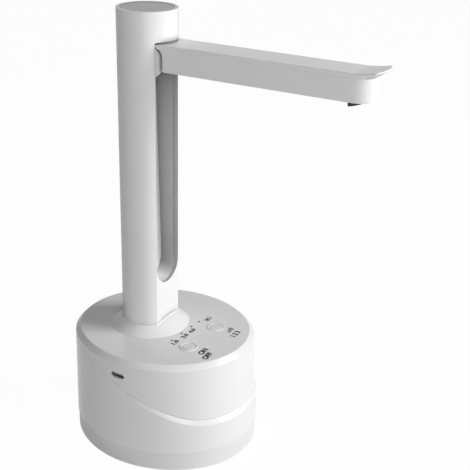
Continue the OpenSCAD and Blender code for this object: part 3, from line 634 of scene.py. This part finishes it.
def with_painted_shade(tree, base, painted_shade):
    """Socket of a base colour with painted shade: darker in recesses and where the surface turns away from the view"""
    hollow, shadow = tree.nodes.new("ShaderNodeGroup"), tree.nodes.new("ShaderNodeMix")
    hollow.node_tree = painted_shade_group()
    for label, value in zip(PAINTED_SHADE_INPUTS, painted_shade):
        hollow.inputs[label].default_value = value
    # Painted shade towards the rim of the view, multiplied with the painted shade of the recesses
    facing, rim = tree.nodes.new("ShaderNodeLayerWeight"), tree.nodes.new("ShaderNodeMapRange")
    lit = tree.nodes.new("ShaderNodeMath")
    lit.operation = "MULTIPLY"
    for label, value in (("From Min", RIM_FROM), ("To Min", 1.0), ("To Max", RIM_PAINTED_SHADE)):
        rim.inputs[label].default_value = value
    link = tree.links.new
    link(facing.outputs["Facing"], rim.inputs["Value"])
    link(hollow.outputs["Open"], lit.inputs[0])
    link(rim.outputs["Result"], lit.inputs[1])
    shadow.data_type = "RGBA"
    shadow.inputs["A"].default_value = (0, 0, 0, 1)
    link(lit.outputs[0], shadow.inputs["Factor"])
    link(base, shadow.inputs["B"])
    return shadow.outputs["Result"]


def finish(name, colour, spread=0.015, rough=(0.3, 0.4), bump=0.00002, metallic=0.0, coat=0.0, ior=1.46,
           painted_shade=None):
    """Material of one finish: its colour varies by spread over the moulded skin, and where told, painted shade darkens
    it in recesses and towards the rim of the view
    """
    if name in bpy.data.materials:
        return bpy.data.materials[name]
    material = bpy.data.materials.new(name)
    material.use_nodes = True
    tree = material.node_tree
    shader = tree.nodes["Principled BSDF"]
    shader.inputs["Metallic"].default_value = metallic
    shader.inputs["IOR"].default_value = ior
    shader.inputs["Coat Weight"].default_value = coat
    shader.inputs["Coat Roughness"].default_value = COAT_ROUGH
    skin = tree.nodes.new("ShaderNodeGroup")
    skin.node_tree = moulding_group()
    for label, value in (("Grain size", GRAIN), ("Patch size", PATCH), ("Rough low", rough[0]),
                         ("Rough high", rough[1])):
        skin.inputs[label].default_value = value
    tone = tree.nodes.new("ShaderNodeMix")
    tone.data_type = "RGBA"
    low = [srgb(max(c - spread, 0.0)) for c in colour]
    high = [srgb(min(c + spread, 1.0)) for c in colour]
    tone.inputs["A"].default_value = (*low, 1.0)
    tone.inputs["B"].default_value = (*high, 1.0)
    bump_node = tree.nodes.new("ShaderNodeBump")
    bump_node.inputs["Strength"].default_value = BUMP_STRENGTH
    bump_node.inputs["Distance"].default_value = bump
    link = tree.links.new
    link(skin.outputs["Tone"], tone.inputs["Factor"])
    base = tone.outputs["Result"]
    link(with_painted_shade(tree, base, painted_shade) if painted_shade else base, shader.inputs["Base Color"])
    link(skin.outputs["Roughness"], shader.inputs["Roughness"])
    link(skin.outputs["Height"], bump_node.inputs["Height"])
    link(bump_node.outputs["Normal"], shader.inputs["Normal"])
    return material


def slot_finishes():
    """The record's material slots and their finishes"""
    looks = bpy.context.scene.jug_pump_colours
    return {
        # White plastic carries painted shade in its gaps, on the shells, the arm and the collar
        "white_plastic": finish("white_plastic", looks.housing, rough=GLOSSY, painted_shade=SHELL_PAINTED_SHADE),
        "button_plastic": finish("button_plastic", looks.button, rough=(0.3, 0.42)),
        "cover_plastic": finish("cover_plastic", looks.cover, rough=(0.4, 0.55), bump=0.00004),
        "grey_plastic": finish("grey_plastic", looks.cap, rough=(0.4, 0.55), bump=0.00004),
        "black_plastic": finish("black_plastic", looks.black, spread=0.02, rough=(0.35, 0.5)),
        "dark_fitting": finish("dark_fitting", (0.2, 0.2, 0.21), spread=0.02, rough=(0.35, 0.5)),
        "inner_plastic": finish("inner_plastic", (0.78, 0.78, 0.77), rough=(0.4, 0.55)),
        "foot_rubber": finish("foot_rubber", looks.rubber, spread=0.03, rough=(0.7, 0.85), bump=0.00006),
        "hose_silicone": finish("hose_silicone", (0.83, 0.85, 0.86), rough=(0.25, 0.4), ior=1.41),
        "steel": finish("steel", (0.72, 0.72, 0.71), spread=0.04, rough=(0.22, 0.36), metallic=1.0),
        "board_green": finish("board_green", (0.09, 0.34, 0.17), spread=0.03, rough=(0.3, 0.45)),
        "cell_wrap": finish("cell_wrap", (0.16, 0.4, 0.62), spread=0.02, rough=(0.25, 0.4), coat=0.3),
    }


SLOT_OF = {part["node"]: part["material_slot"] for part in frame["record"]["subparts"]}


def dress(obj, body, slot, *nodes):
    """Rides a finished piece on its body, in place of frame nodes"""
    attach(obj, body)
    if nodes:
        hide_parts(*nodes)


def shown_colour(name, description, default):
    """Property of a display colour"""
    return FloatVectorProperty(name=name, description=description, subtype="COLOR_GAMMA", size=3, default=default)


class PumpSizes(bpy.types.PropertyGroup):
    """Sizes of the finished surfaces"""
    shell_steps: IntProperty(name="Shell steps", description="Steps round the base shells", default=288, min=96)
    edge_round: FloatProperty(name="Edge round", description="Rounding of the moulded edges, in millimetres",
                              default=0.4, min=0.05, max=0.8)
    ink_thickness: FloatProperty(name="Ink thickness", description="Thickness of the printed ink",
                                 default=0.00003, unit="LENGTH", subtype="DISTANCE")
    key_level: FloatProperty(name="Key", description="Level of the key light on a white surface", default=0.83)
    fill_level: FloatProperty(name="Fill", description="Level of the fill light on a white surface", default=0.38)
    side_level: FloatProperty(name="Side", description="Level of the side light on a white surface", default=0.05)
    sky_level: FloatProperty(name="Sky", description="Level of the light from all round", default=0.07)
    camera_lens: FloatProperty(name="Lens", description="Focal length on a 36 mm sensor",
                               default=75.692, unit="CAMERA")


class PumpColours(bpy.types.PropertyGroup):
    """Display colours of the visible finishes"""
    housing: shown_colour("Housing", "Arm and base shells", (0.9, 0.9, 0.9))
    column: shown_colour("Column", "Column and the trough in its slot", (0.94, 0.94, 0.94))
    button: shown_colour("Buttons", "The two buttons", (0.9, 0.9, 0.9))
    cover: shown_colour("Bottom", "Bottom cover and foot band", (0.92, 0.92, 0.92))
    cap: shown_colour("Cap", "Disc in the column's rim", (0.55, 0.55, 0.54))
    black: shown_colour("Nozzle", "Nozzle", (0.05, 0.05, 0.05))
    port: shown_colour("Port", "Metal of the charge port", (0.55, 0.55, 0.56))
    rubber: shown_colour("Foot", "Rubber foot ring", (0.25, 0.25, 0.26))
    lens: shown_colour("Lenses", "Lenses of the lamps", (0.3, 0.3, 0.3))
    ink: shown_colour("Ink", "Printed marks", (0.07, 0.07, 0.07))


class JUGPUMP_OT_inner_parts(bpy.types.Operator):
    """Gives every frame node the finish of its material slot"""
    bl_idname = "jugpump.inner_parts"
    bl_label = "Inner parts"

    def execute(self, context):
        finishes = slot_finishes()
        for name, obj in frame["nodes"].items():
            obj.data.materials.clear()
            obj.data.materials.append(finishes[SLOT_OF[name]])
        port = finish("port_metal", context.scene.jug_pump_colours.port, spread=0.03, rough=(0.3, 0.45), metallic=0.5)
        frame["nodes"]["charge_socket"].data.materials[0] = port
        return {"FINISHED"}


class JUGPUMP_OT_base_shells(bpy.types.Operator):
    """Makes the upper and lower shell of the base with the ledge along their seam"""
    bl_idname = "jugpump.base_shells"
    bl_label = "Base shells"

    def lower_ring(self, angle, edge):
        """Section of the lower shell"""
        inset = ledge_in(angle)
        low = FOOT_H + FIT
        zb = seam_z(oval_point(angle, 0)[0]) - BEVEL_H
        zc = seam_z(oval_point(angle, -inset)[0])
        zd = seam_z(oval_point(angle, -LOWER_WALL)[0])
        outline = [(0, low), (-wall_in(zb), zb), (-inset - wall_in(zc), zc), (-LOWER_WALL, zd), (-LOWER_WALL, low)]
        return [(*oval_point(angle, out), z) for out, z in rounded(outline, (edge, edge, edge * FINE_EDGE, 0, 0))]

    def upper_ring(self, angle, edge):
        """Section of the upper shell"""
        inset = ledge_in(angle)
        lip = seam_z(oval_point(angle, -LOWER_WALL - FIT)[0])
        inside = seam_z(oval_point(angle, -SHELL_IN)[0])
        foot = seam_z(oval_point(angle, -inset - wall_in(SEAM_MID))[0]) + SEAM_GAP
        corner = BASE_TOP - EDGE_BEVEL
        top = -inset - wall_in(corner) - EDGE_BEVEL
        outline = [(-SHELL_IN, BASE_TOP - TOP_T), (-SHELL_IN, inside - SEAM_LIP), (-LOWER_WALL - FIT, lip - SEAM_LIP),
                   (-LOWER_WALL - FIT, foot), (-inset - wall_in(foot), foot), (-inset - wall_in(corner), corner),
                   (top, BASE_TOP), (top - TOP_FLAT, BASE_TOP)]
        radii = (0, 0, 0, 0, edge * FINE_EDGE, edge, edge, 0)
        return [(*oval_point(angle, out), z) for out, z in rounded(outline, radii)]

    def execute(self, context):
        sizes = context.scene.jug_pump_sizes
        white = slot_finishes()["white_plastic"]
        n = sizes.shell_steps
        angles = [2 * math.pi * (i + 0.5) / n for i in range(n)]
        lower = piece("base_lower_shell", loft([self.lower_ring(a, sizes.edge_round) for a in angles]), white)
        dress(lower, "housing", "white_plastic", "lower_shell")
        band = polished("bottom_band", "bottom_cover", slot_finishes()["cover_plastic"], RIM_ROUND, self.on_rim)
        dress(band, "housing", "cover_plastic", "bottom_cover")

        rings = [self.upper_ring(a, sizes.edge_round) for a in angles]
        k = len(rings[0])
        points, faces = loft(rings)
        faces = [f for i, f in enumerate(faces) if i % k != k - 1]
        faces += [tuple(i * k for i in range(n)), tuple(i * k + k - 1 for i in range(n))]
        upper = piece("base_upper_shell", (points, faces), white)
        holes = [(COL_X, 0.0, COL_R + FIT, 0.0)]
        holes += [(*at, BUTTON_R + BUTTON_GAP, BUTTON_FLARE) for at in BUTTONS.values()]
        holes += [(*at, LAMP_R + LAMP_GAP, LAMP_FLARE) for at in LAMPS]
        tools = []
        for x, y, r, flare in holes:
            low, high = BASE_TOP - TOP_T - HOLE_OVER, BASE_TOP + HOLE_OVER
            outline = [(0, low), (r, low), (r, BASE_TOP - flare), (r + flare, BASE_TOP), (r + flare, high), (0, high)]
            tools.append(piece("hole", turned(outline, (x, y), HOLE_STEPS), white))
        tools.append(self.port_tool(white))
        cut(upper, tools)
        shade(upper, SHELL_SHARP)
        dress(upper, "housing", "white_plastic", "upper_shell")
        return {"FINISHED"}

    def on_rim(self, p):
        """Edges of the bottom cover's outer wall"""
        return math.hypot(p.x, p.y) > RIM_R

    def port_tool(self, material):
        """Pill-shaped tool of the charge port's opening in the wall"""
        low, high = (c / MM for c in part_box("charge_socket"))
        mid_x, mid_z = (low.x + high.x) / 2, (low.z + high.z) / 2
        r = (high.z - low.z) / 2 + PORT_GAP
        half = (high.x - low.x) / 2 + PORT_GAP - r
        outline = []
        for i in range(PORT_STEPS):
            a = 2 * math.pi * i / PORT_STEPS
            outline.append((mid_x + math.copysign(half, math.cos(a)) + r * math.cos(a), mid_z + r * math.sin(a)))
        wall = -oval_point(-math.pi / 2, 0)[1]
        rings = [[(x, y, z) for x, z in outline] for y in (-wall - PORT_OUT, -wall + SHELL_IN + PORT_IN)]
        return prism("port_opening", rings, material)


class JUGPUMP_OT_column(bpy.types.Operator):
    """Makes the column with its slot, the trough behind it, the collar and the cap"""
    bl_idname = "jugpump.column"
    bl_label = "Column"

    def off_ears(self, p):
        """Edges of the hinge's ears stay crisp"""
        return p.x < EARS_X or abs(p.z - PIVOT[1]) > EARS_REACH

    def collar_ring(self, angle):
        """Section of the collar, which closes up to the column's flat in front"""
        low, high = BASE_TOP + COLLAR_FLOAT, BASE_TOP + COLLAR_H
        inner = COL_R + COLLAR_FIT
        shut = inner
        if math.cos(angle) > 0:
            shut = min(inner, (FLAT_X + COLLAR_FIT) / math.cos(angle))
        foot = high + FIT + (inner - shut) * COLLAR_LIFT
        outline = [(inner, low), (COLLAR_R, low), (COLLAR_R, low + COLLAR_STEP), (COL_R + COLLAR_RIM, high)]
        section = rounded(outline, COLLAR_RADII)
        for t in (math.pi * i / (2 * FILLET_STEPS) for i in range(FILLET_STEPS + 1)):
            section.append((shut + FILLET * (1 - math.sin(t)), foot + FILLET * (1 - math.cos(t))))
        section.append((shut, high + FIT * 0.5))
        return [(COL_X + r * math.cos(angle), r * math.sin(angle), z) for r, z in section]

    def execute(self, context):
        edge = context.scene.jug_pump_sizes.edge_round
        finishes = slot_finishes()
        white = finishes["white_plastic"]
        tint = context.scene.jug_pump_colours.column
        # The column and the lining of its slot carry painted shade, and the lining's side walls are painted darkest
        outer = finish("white_column", tint, rough=GLOSSY, painted_shade=COLUMN_PAINTED_SHADE)
        shaded_lining = finish("white_lining", tint, rough=GLOSSY, painted_shade=LINING_PAINTED_SHADE)
        tube = polished("column", "column_tube", outer, edge * COLUMN_EDGE, self.off_ears)
        for v in tube.data.vertices:
            if abs(v.co.z / MM - FLAT_TOP) < BROW_NEAR and v.co.x / MM > BROW_X:
                v.co.z -= BROW_MORE * MM
        dress(tube, "housing", "white_plastic", "column_tube")
        trough = polished("slot_lining", "slot_trough", shaded_lining, edge * FINE_EDGE, self.off_ears)
        low, high = (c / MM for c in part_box("nozzle"))
        depth = PIVOT[0] - (PIVOT[1] - low.z) - NOZZLE_MORE - POCKET_GAP
        ring = circle(POCKET_R, (0, PIVOT[1] - (TIP_X - PIVOT[0])), POCKET_STEPS)
        cut(trough, [prism("nozzle_room", [[(x, y, z) for y, z in ring] for x in (depth, COL_X)], shaded_lining)])
        shade(trough, SHARP)
        dress(trough, "housing", "white_plastic", "slot_trough")
        rings = [self.collar_ring(2 * math.pi * i / COLLAR_STEPS) for i in range(COLLAR_STEPS)]
        collar = piece("collar_ring", loft(rings), white)
        dress(collar, "housing", "white_plastic", "collar")
        low, high = (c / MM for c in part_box("column_cap"))
        r = (high.y - low.y) / 2
        outline = [(0, low.z), (r, low.z), (r, high.z), (0, high.z)]
        disc = turned(rounded(outline, (0, CAP_ROUND, CAP_ROUND, 0)), (COL_X, 0), CAP_STEPS)
        cap = piece("column_disc", disc, finishes["grey_plastic"])
        dress(cap, "housing", "grey_plastic", "column_cap")
        return {"FINISHED"}


class JUGPUMP_OT_spout_arm(bpy.types.Operator):
    """Makes the folding spout arm, its cover with the finger lip and its nozzle"""
    bl_idname = "jugpump.spout_arm"
    bl_label = "Spout arm"

    def stations(self):
        """Along the cover: rim point, its outward direction and the point below it on the arm's outline"""
        out = [((PLATE_BACK, FLARE_HALF), (0, 1), (PLATE_BACK, FLARE_HALF)),
               ((FLARE_X, ARM_HALF), (0, 1), (FLARE_X, ARM_HALF)), ((TIP_X, ARM_HALF), (0, 1), (TIP_X, ARM_HALF))]
        corner = math.asin(ARM_HALF / LIP_R)
        corner_x = LIP_END - LIP_R + LIP_R * math.cos(corner)
        side, front = LIP_SIDE_STEPS, LIP_FRONT_STEPS
        for i in range(1, side + front + 1):
            t = math.radians(90) * i / (side + front)
            below = (TIP_X + ARM_HALF * math.sin(t), ARM_HALF * math.cos(t))
            if i < side:
                out.append(((TIP_X + (corner_x - TIP_X) * i / side, ARM_HALF), (0, 1), below))
                continue
            a = corner * (side + front - i) / front
            turn = (math.cos(a), math.sin(a)) if i > side else LIP_TURN
            out.append(((LIP_END - LIP_R + LIP_R * math.cos(a), LIP_R * math.sin(a)), turn, below))
        return out

    def cover(self, edge, material):
        """Cover with its lip, cut free of the hinge"""
        rings = []
        for (x, y), (nx, ny), (bx, by) in self.stations():
            rise = max(x - TIP_X, 0) / (LIP_END - TIP_X)
            top = ARM_TOP + LIP_RISE * rise ** LIP_BEND
            half = [(bx, by, PLATE_LOW), (x, y, top - LIP_EDGE - (1 - min(rise * COVER_FADE, 1)) * COVER_SKIRT)]
            for k in range(COVER_STEPS + 1):
                a = math.radians(90) * k / COVER_STEPS
                back = edge * (1 - math.cos(a))
                half.append((x - nx * back, max(y - ny * back, 0), top - edge * (1 - math.sin(a))))
            rings.append(half + [(px, -py, pz) for px, py, pz in reversed(half)])
        points, faces = loft(rings)
        k, n = len(rings[0]), len(rings)
        faces = faces[:(n - 1) * k] + [tuple(range(k))]
        made = piece("spout_cover", (points, faces), material, COVER_SHARP)
        ring = circle(ROOT_R, PIVOT, HINGE_STEPS)
        sides = [[(x, y, z) for x, z in ring] for y in (-2 * ARM_HALF, 2 * ARM_HALF)]
        cut(made, [prism("hinge_room", sides, material)])
        shade(made, COVER_SHARP)
        return made

    def execute(self, context):
        edge = context.scene.jug_pump_sizes.edge_round
        finishes = slot_finishes()
        white = finishes["white_plastic"]
        body = polished("spout_body", "arm_body", white, edge, lambda p: p.z < PIVOT[1])
        dress(body, "arm", "white_plastic", "arm_body")
        dress(self.cover(edge, white), "arm", "white_plastic", "arm_cover")
        nozzle = polished("spout_nozzle", "nozzle", finishes["black_plastic"], edge * FINE_EDGE)
        for v in nozzle.data.vertices:
            if v.co.z < NOZZLE_TOP * MM:
                v.co.z -= NOZZLE_MORE * MM
        dress(nozzle, "arm", "black_plastic", "nozzle")
        return {"FINISHED"}


class JUGPUMP_OT_buttons(bpy.types.Operator):
    """Makes the two dished buttons with their rims and stems"""
    bl_idname = "jugpump.buttons"
    bl_label = "Buttons"

    def execute(self, context):
        white = slot_finishes()["button_plastic"]
        for node, at in BUTTONS.items():
            low, high = (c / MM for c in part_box(node))
            high.z += BUTTON_MORE
            rim_top = BASE_TOP - TOP_T - BUTTON_FLOAT
            rim_low, rim = rim_top - FLANGE_T, BUTTON_R + FLANGE_MORE
            outline = [(0, low.z), (STEM_R, low.z), (STEM_R, rim_low), (rim, rim_low), (rim, rim_top),
                       (BUTTON_R, rim_top), (BUTTON_R, high.z), (DISH_R, high.z)]
            steps = [i / DISH_STEPS for i in range(1, DISH_STEPS + 1)]
            dish = [(DISH_R * (1 - t), high.z - DISH_DEPTH * math.sin(math.pi / 2 * t)) for t in steps]
            made = piece(node + "_cap", turned(rounded(outline, BUTTON_RADII) + dish, at, BUTTON_STEPS), white)
            dress(made, node, "button_plastic", node)
        return {"FINISHED"}


class JUGPUMP_OT_marks(bpy.types.Operator):
    """Makes the lamp lenses and the plain printed marks on the base's top"""
    bl_idname = "jugpump.marks"
    bl_label = "Lamps and marks"

    def words(self, body, centre, width, height, ink):
        """Mesh of words that read along +Y, fitted to a width and a height"""
        curve = bpy.data.curves.new(body, "FONT")
        curve.body = body
        curve.size = 1.0
        curve.offset = WORD_WEIGHT
        curve.extrude = 0.5
        curve.resolution_u = WORD_STEPS
        obj = bpy.data.objects.new(body, curve)
        bpy.context.scene.collection.objects.link(obj)
        graph = bpy.context.evaluated_depsgraph_get()
        mesh = bpy.data.meshes.new_from_object(obj.evaluated_get(graph), depsgraph=graph)
        bpy.data.objects.remove(obj)
        low = [min(v.co[i] for v in mesh.vertices) for i in range(3)]
        high = [max(v.co[i] for v in mesh.vertices) for i in range(3)]
        for v in mesh.vertices:
            along = (v.co.x - (low[0] + high[0]) / 2) / (high[0] - low[0]) * width
            up = (v.co.y - (low[1] + high[1]) / 2) / (high[1] - low[1]) * height
            thick = (v.co.z - low[2]) / (high[2] - low[2]) * ink
            v.co = Vector((centre[0] - up, centre[1] + along, BASE_TOP + thick)) * MM
        return mesh

    def slab(self, x0, x1, y0, y1, ink):
        """Mesh of a flat mark between two corners"""
        mesh = bpy.data.meshes.new("slab")
        points = [Vector((x, y, z)) * MM for z in (BASE_TOP, BASE_TOP + ink) for x, y in
                  ((x0, y0), (x1, y0), (x1, y1), (x0, y1))]
        faces = [(3, 2, 1, 0), (4, 5, 6, 7), (0, 1, 5, 4), (1, 2, 6, 5), (2, 3, 7, 6), (3, 0, 4, 7)]
        mesh.from_pydata(points, [], faces)
        return mesh

    def execute(self, context):
        ink = context.scene.jug_pump_sizes.ink_thickness / MM
        black = finish("printed_ink", context.scene.jug_pump_colours.ink, spread=0.02, rough=(0.45, 0.6))
        meshes = [self.words(*row, ink) for row in WORDS] + [self.slab(*row, ink) for row in SLABS]
        row = [(BAR_AT[0], BAR_AT[1] + BAR_PITCH * i, BASE_TOP) for i in range(BAR_COUNT)]
        bars = grown("level_bars", row, bars_tree(), {
            "Width": BAR_W * MM, "First": BAR_FIRST * MM, "Growth": BAR_GROWTH * MM, "Thickness": ink * MM,
            "Material": black})
        meshes.append(bars.data)
        bpy.data.objects.remove(bars)
        bm = bmesh.new()
        for mesh in meshes:
            bm.from_mesh(mesh)
        bmesh.ops.remove_doubles(bm, verts=bm.verts, dist=MARK_MERGE)
        bmesh.ops.recalc_face_normals(bm, faces=bm.faces)
        printed = bpy.data.meshes.new("printed_marks")
        bm.to_mesh(printed)
        bm.free()
        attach(placed("printed_marks", printed, black, 30), "housing")

        smoke = finish("lamp_lens", context.scene.jug_pump_colours.lens, spread=0.02, rough=(0.12, 0.2))
        lenses = grown("lamp_lenses", [(x, y, BASE_TOP - LAMP_SET) for x, y in LAMPS], lens_tree(), {
            "Radius": LAMP_R * MM, "Rise": LAMP_RISE * MM, "Material": smoke})
        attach(placed("lamp_lenses", lenses.data, smoke, 60), "housing")
        bpy.data.objects.remove(lenses)
        return {"FINISHED"}


class JUGPUMP_OT_stage(bpy.types.Operator):
    """Sets the floor, the soft lights, the world and the camera"""
    bl_idname = "jugpump.stage"
    bl_label = "Stage"

    def seen(self, tree):
        """Socket that is 1 for camera, glossy and transmission rays"""
        path = tree.nodes.new("ShaderNodeLightPath")
        last = path.outputs["Is Camera Ray"]
        for label in ("Is Glossy Ray", "Is Transmission Ray"):
            either = tree.nodes.new("ShaderNodeMath")
            either.operation = "MAXIMUM"
            tree.links.new(last, either.inputs[0])
            tree.links.new(path.outputs[label], either.inputs[1])
            last = either.outputs[0]
        return last

    def floor_material(self):
        """White paper that keeps a faint shadow"""
        material = bpy.data.materials.new("pale_floor")
        material.use_nodes = True
        tree = material.node_tree
        tree.nodes.clear()
        n, link = tree.nodes, tree.links.new
        out, mix = n.new("ShaderNodeOutputMaterial"), n.new("ShaderNodeMixShader")
        paper, white = n.new("ShaderNodeBsdfDiffuse"), n.new("ShaderNodeEmission")
        seen = self.seen(tree)
        tone, share = n.new("ShaderNodeMapRange"), n.new("ShaderNodeMath")
        tone.inputs["To Min"].default_value = PAPER_TONE
        tone.inputs["To Max"].default_value = 1.0
        share.operation = "MULTIPLY"
        share.inputs[1].default_value = PAPER_WHITE
        link(seen, tone.inputs["Value"])
        link(tone.outputs["Result"], paper.inputs["Color"])
        link(seen, share.inputs[0])
        link(share.outputs[0], mix.inputs["Fac"])
        link(paper.outputs[0], mix.inputs[1])
        link(white.outputs[0], mix.inputs[2])
        link(mix.outputs[0], out.inputs["Surface"])
        return material

    def world(self, context):
        """World that is white where it is seen and lights at the sky's level"""
        world = bpy.data.worlds.new("studio")
        context.scene.world = world
        world.use_nodes = True
        tree = world.node_tree
        back = tree.nodes["Background"]
        back.inputs["Color"].default_value = (1, 1, 1, 1)
        level = tree.nodes.new("ShaderNodeMapRange")
        level.inputs["To Min"].default_value = context.scene.jug_pump_sizes.sky_level
        level.inputs["To Max"].default_value = 1.0
        tree.links.new(self.seen(tree), level.inputs["Value"])
        tree.links.new(level.outputs["Result"], back.inputs["Strength"])

    def lamp(self, name, azimuth, elevation, size, level):
        """Square lamp that lights a white surface facing it at the object to this level"""
        a, e = math.radians(azimuth), math.radians(elevation)
        way = Vector((math.cos(a) * math.cos(e), math.sin(a) * math.cos(e), math.sin(e)))
        data = bpy.data.lights.new(name, "AREA")
        data.shape = "SQUARE"
        data.size = size
        data.energy = level * (math.pi * LAMP_REACH) ** 2
        obj = bpy.data.objects.new(name, data)
        obj.location = Vector(MIDDLE) + way * LAMP_REACH
        obj.rotation_euler = way.to_track_quat("Z", "Y").to_euler()
        bpy.context.scene.collection.objects.link(obj)

    def execute(self, context):
        scene = context.scene
        scene.view_settings.view_transform = "Standard"
        r, z = FLOOR_REACH, CAD_BOX[0][2] - FLOOR_DROP
        mesh = bpy.data.meshes.new("floor")
        mesh.from_pydata([(-r, -r, z), (r, -r, z), (r, r, z), (-r, r, z)], [], [(0, 1, 2, 3)])
        floor = bpy.data.objects.new("floor", mesh)
        scene.collection.objects.link(floor)
        mesh.materials.append(self.floor_material())
        self.world(context)
        sizes = scene.jug_pump_sizes
        for name, azimuth, elevation, size in STUDIO:
            self.lamp(name + "_light", azimuth, elevation, size, getattr(sizes, name + "_level"))

        camera = bpy.data.cameras.new("camera")
        camera.sensor_width = SENSOR
        camera.lens = sizes.camera_lens
        camera.clip_start, camera.clip_end = CLIP
        obj = bpy.data.objects.new("camera", camera)
        right, up = Vector(CAMERA_RIGHT), Vector(CAMERA_UP)
        turn = Matrix((right, up, right.cross(up))).transposed().to_4x4()
        obj.matrix_world = Matrix.Translation(CAMERA_AT) @ turn
        scene.collection.objects.link(obj)
        scene.camera = obj
        return {"FINISHED"}


class JUGPUMP_PT_panel(bpy.types.Panel):
    """Sizes, colours and steps of the jug pump"""
    bl_idname = "JUGPUMP_PT_panel"
    bl_label = "Jug Pump"
    bl_space_type = "VIEW_3D"
    bl_region_type = "UI"
    bl_category = "Jug Pump"

    def draw(self, context):
        for group in (context.scene.jug_pump_sizes, context.scene.jug_pump_colours):
            for key in group.__annotations__:
                self.layout.prop(group, key)
        for operator in OPERATORS:
            self.layout.operator(operator.bl_idname)


OPERATORS = (JUGPUMP_OT_stage, JUGPUMP_OT_inner_parts, JUGPUMP_OT_base_shells, JUGPUMP_OT_column,
             JUGPUMP_OT_spout_arm, JUGPUMP_OT_buttons, JUGPUMP_OT_marks)
CLASSES = (PumpSizes, PumpColours, *OPERATORS, JUGPUMP_PT_panel)


def register():
    """Adds the classes and the scene's sizes and colours"""
    for cls in CLASSES:
        bpy.utils.register_class(cls)
    bpy.types.Scene.jug_pump_sizes = PointerProperty(type=PumpSizes)
    bpy.types.Scene.jug_pump_colours = PointerProperty(type=PumpColours)


def unregister():
    """Takes out what register adds"""
    del bpy.types.Scene.jug_pump_colours
    del bpy.types.Scene.jug_pump_sizes
    for cls in reversed(CLASSES):
        bpy.utils.unregister_class(cls)


def main():
    """Builds the finished pump on its stage"""
    register()
    bpy.ops.jugpump.stage()
    bpy.ops.jugpump.inner_parts()
    bpy.ops.jugpump.base_shells()
    bpy.ops.jugpump.column()
    bpy.ops.jugpump.spout_arm()
    bpy.ops.jugpump.buttons()
    bpy.ops.jugpump.marks()


if __name__ == "__main__":
    main()
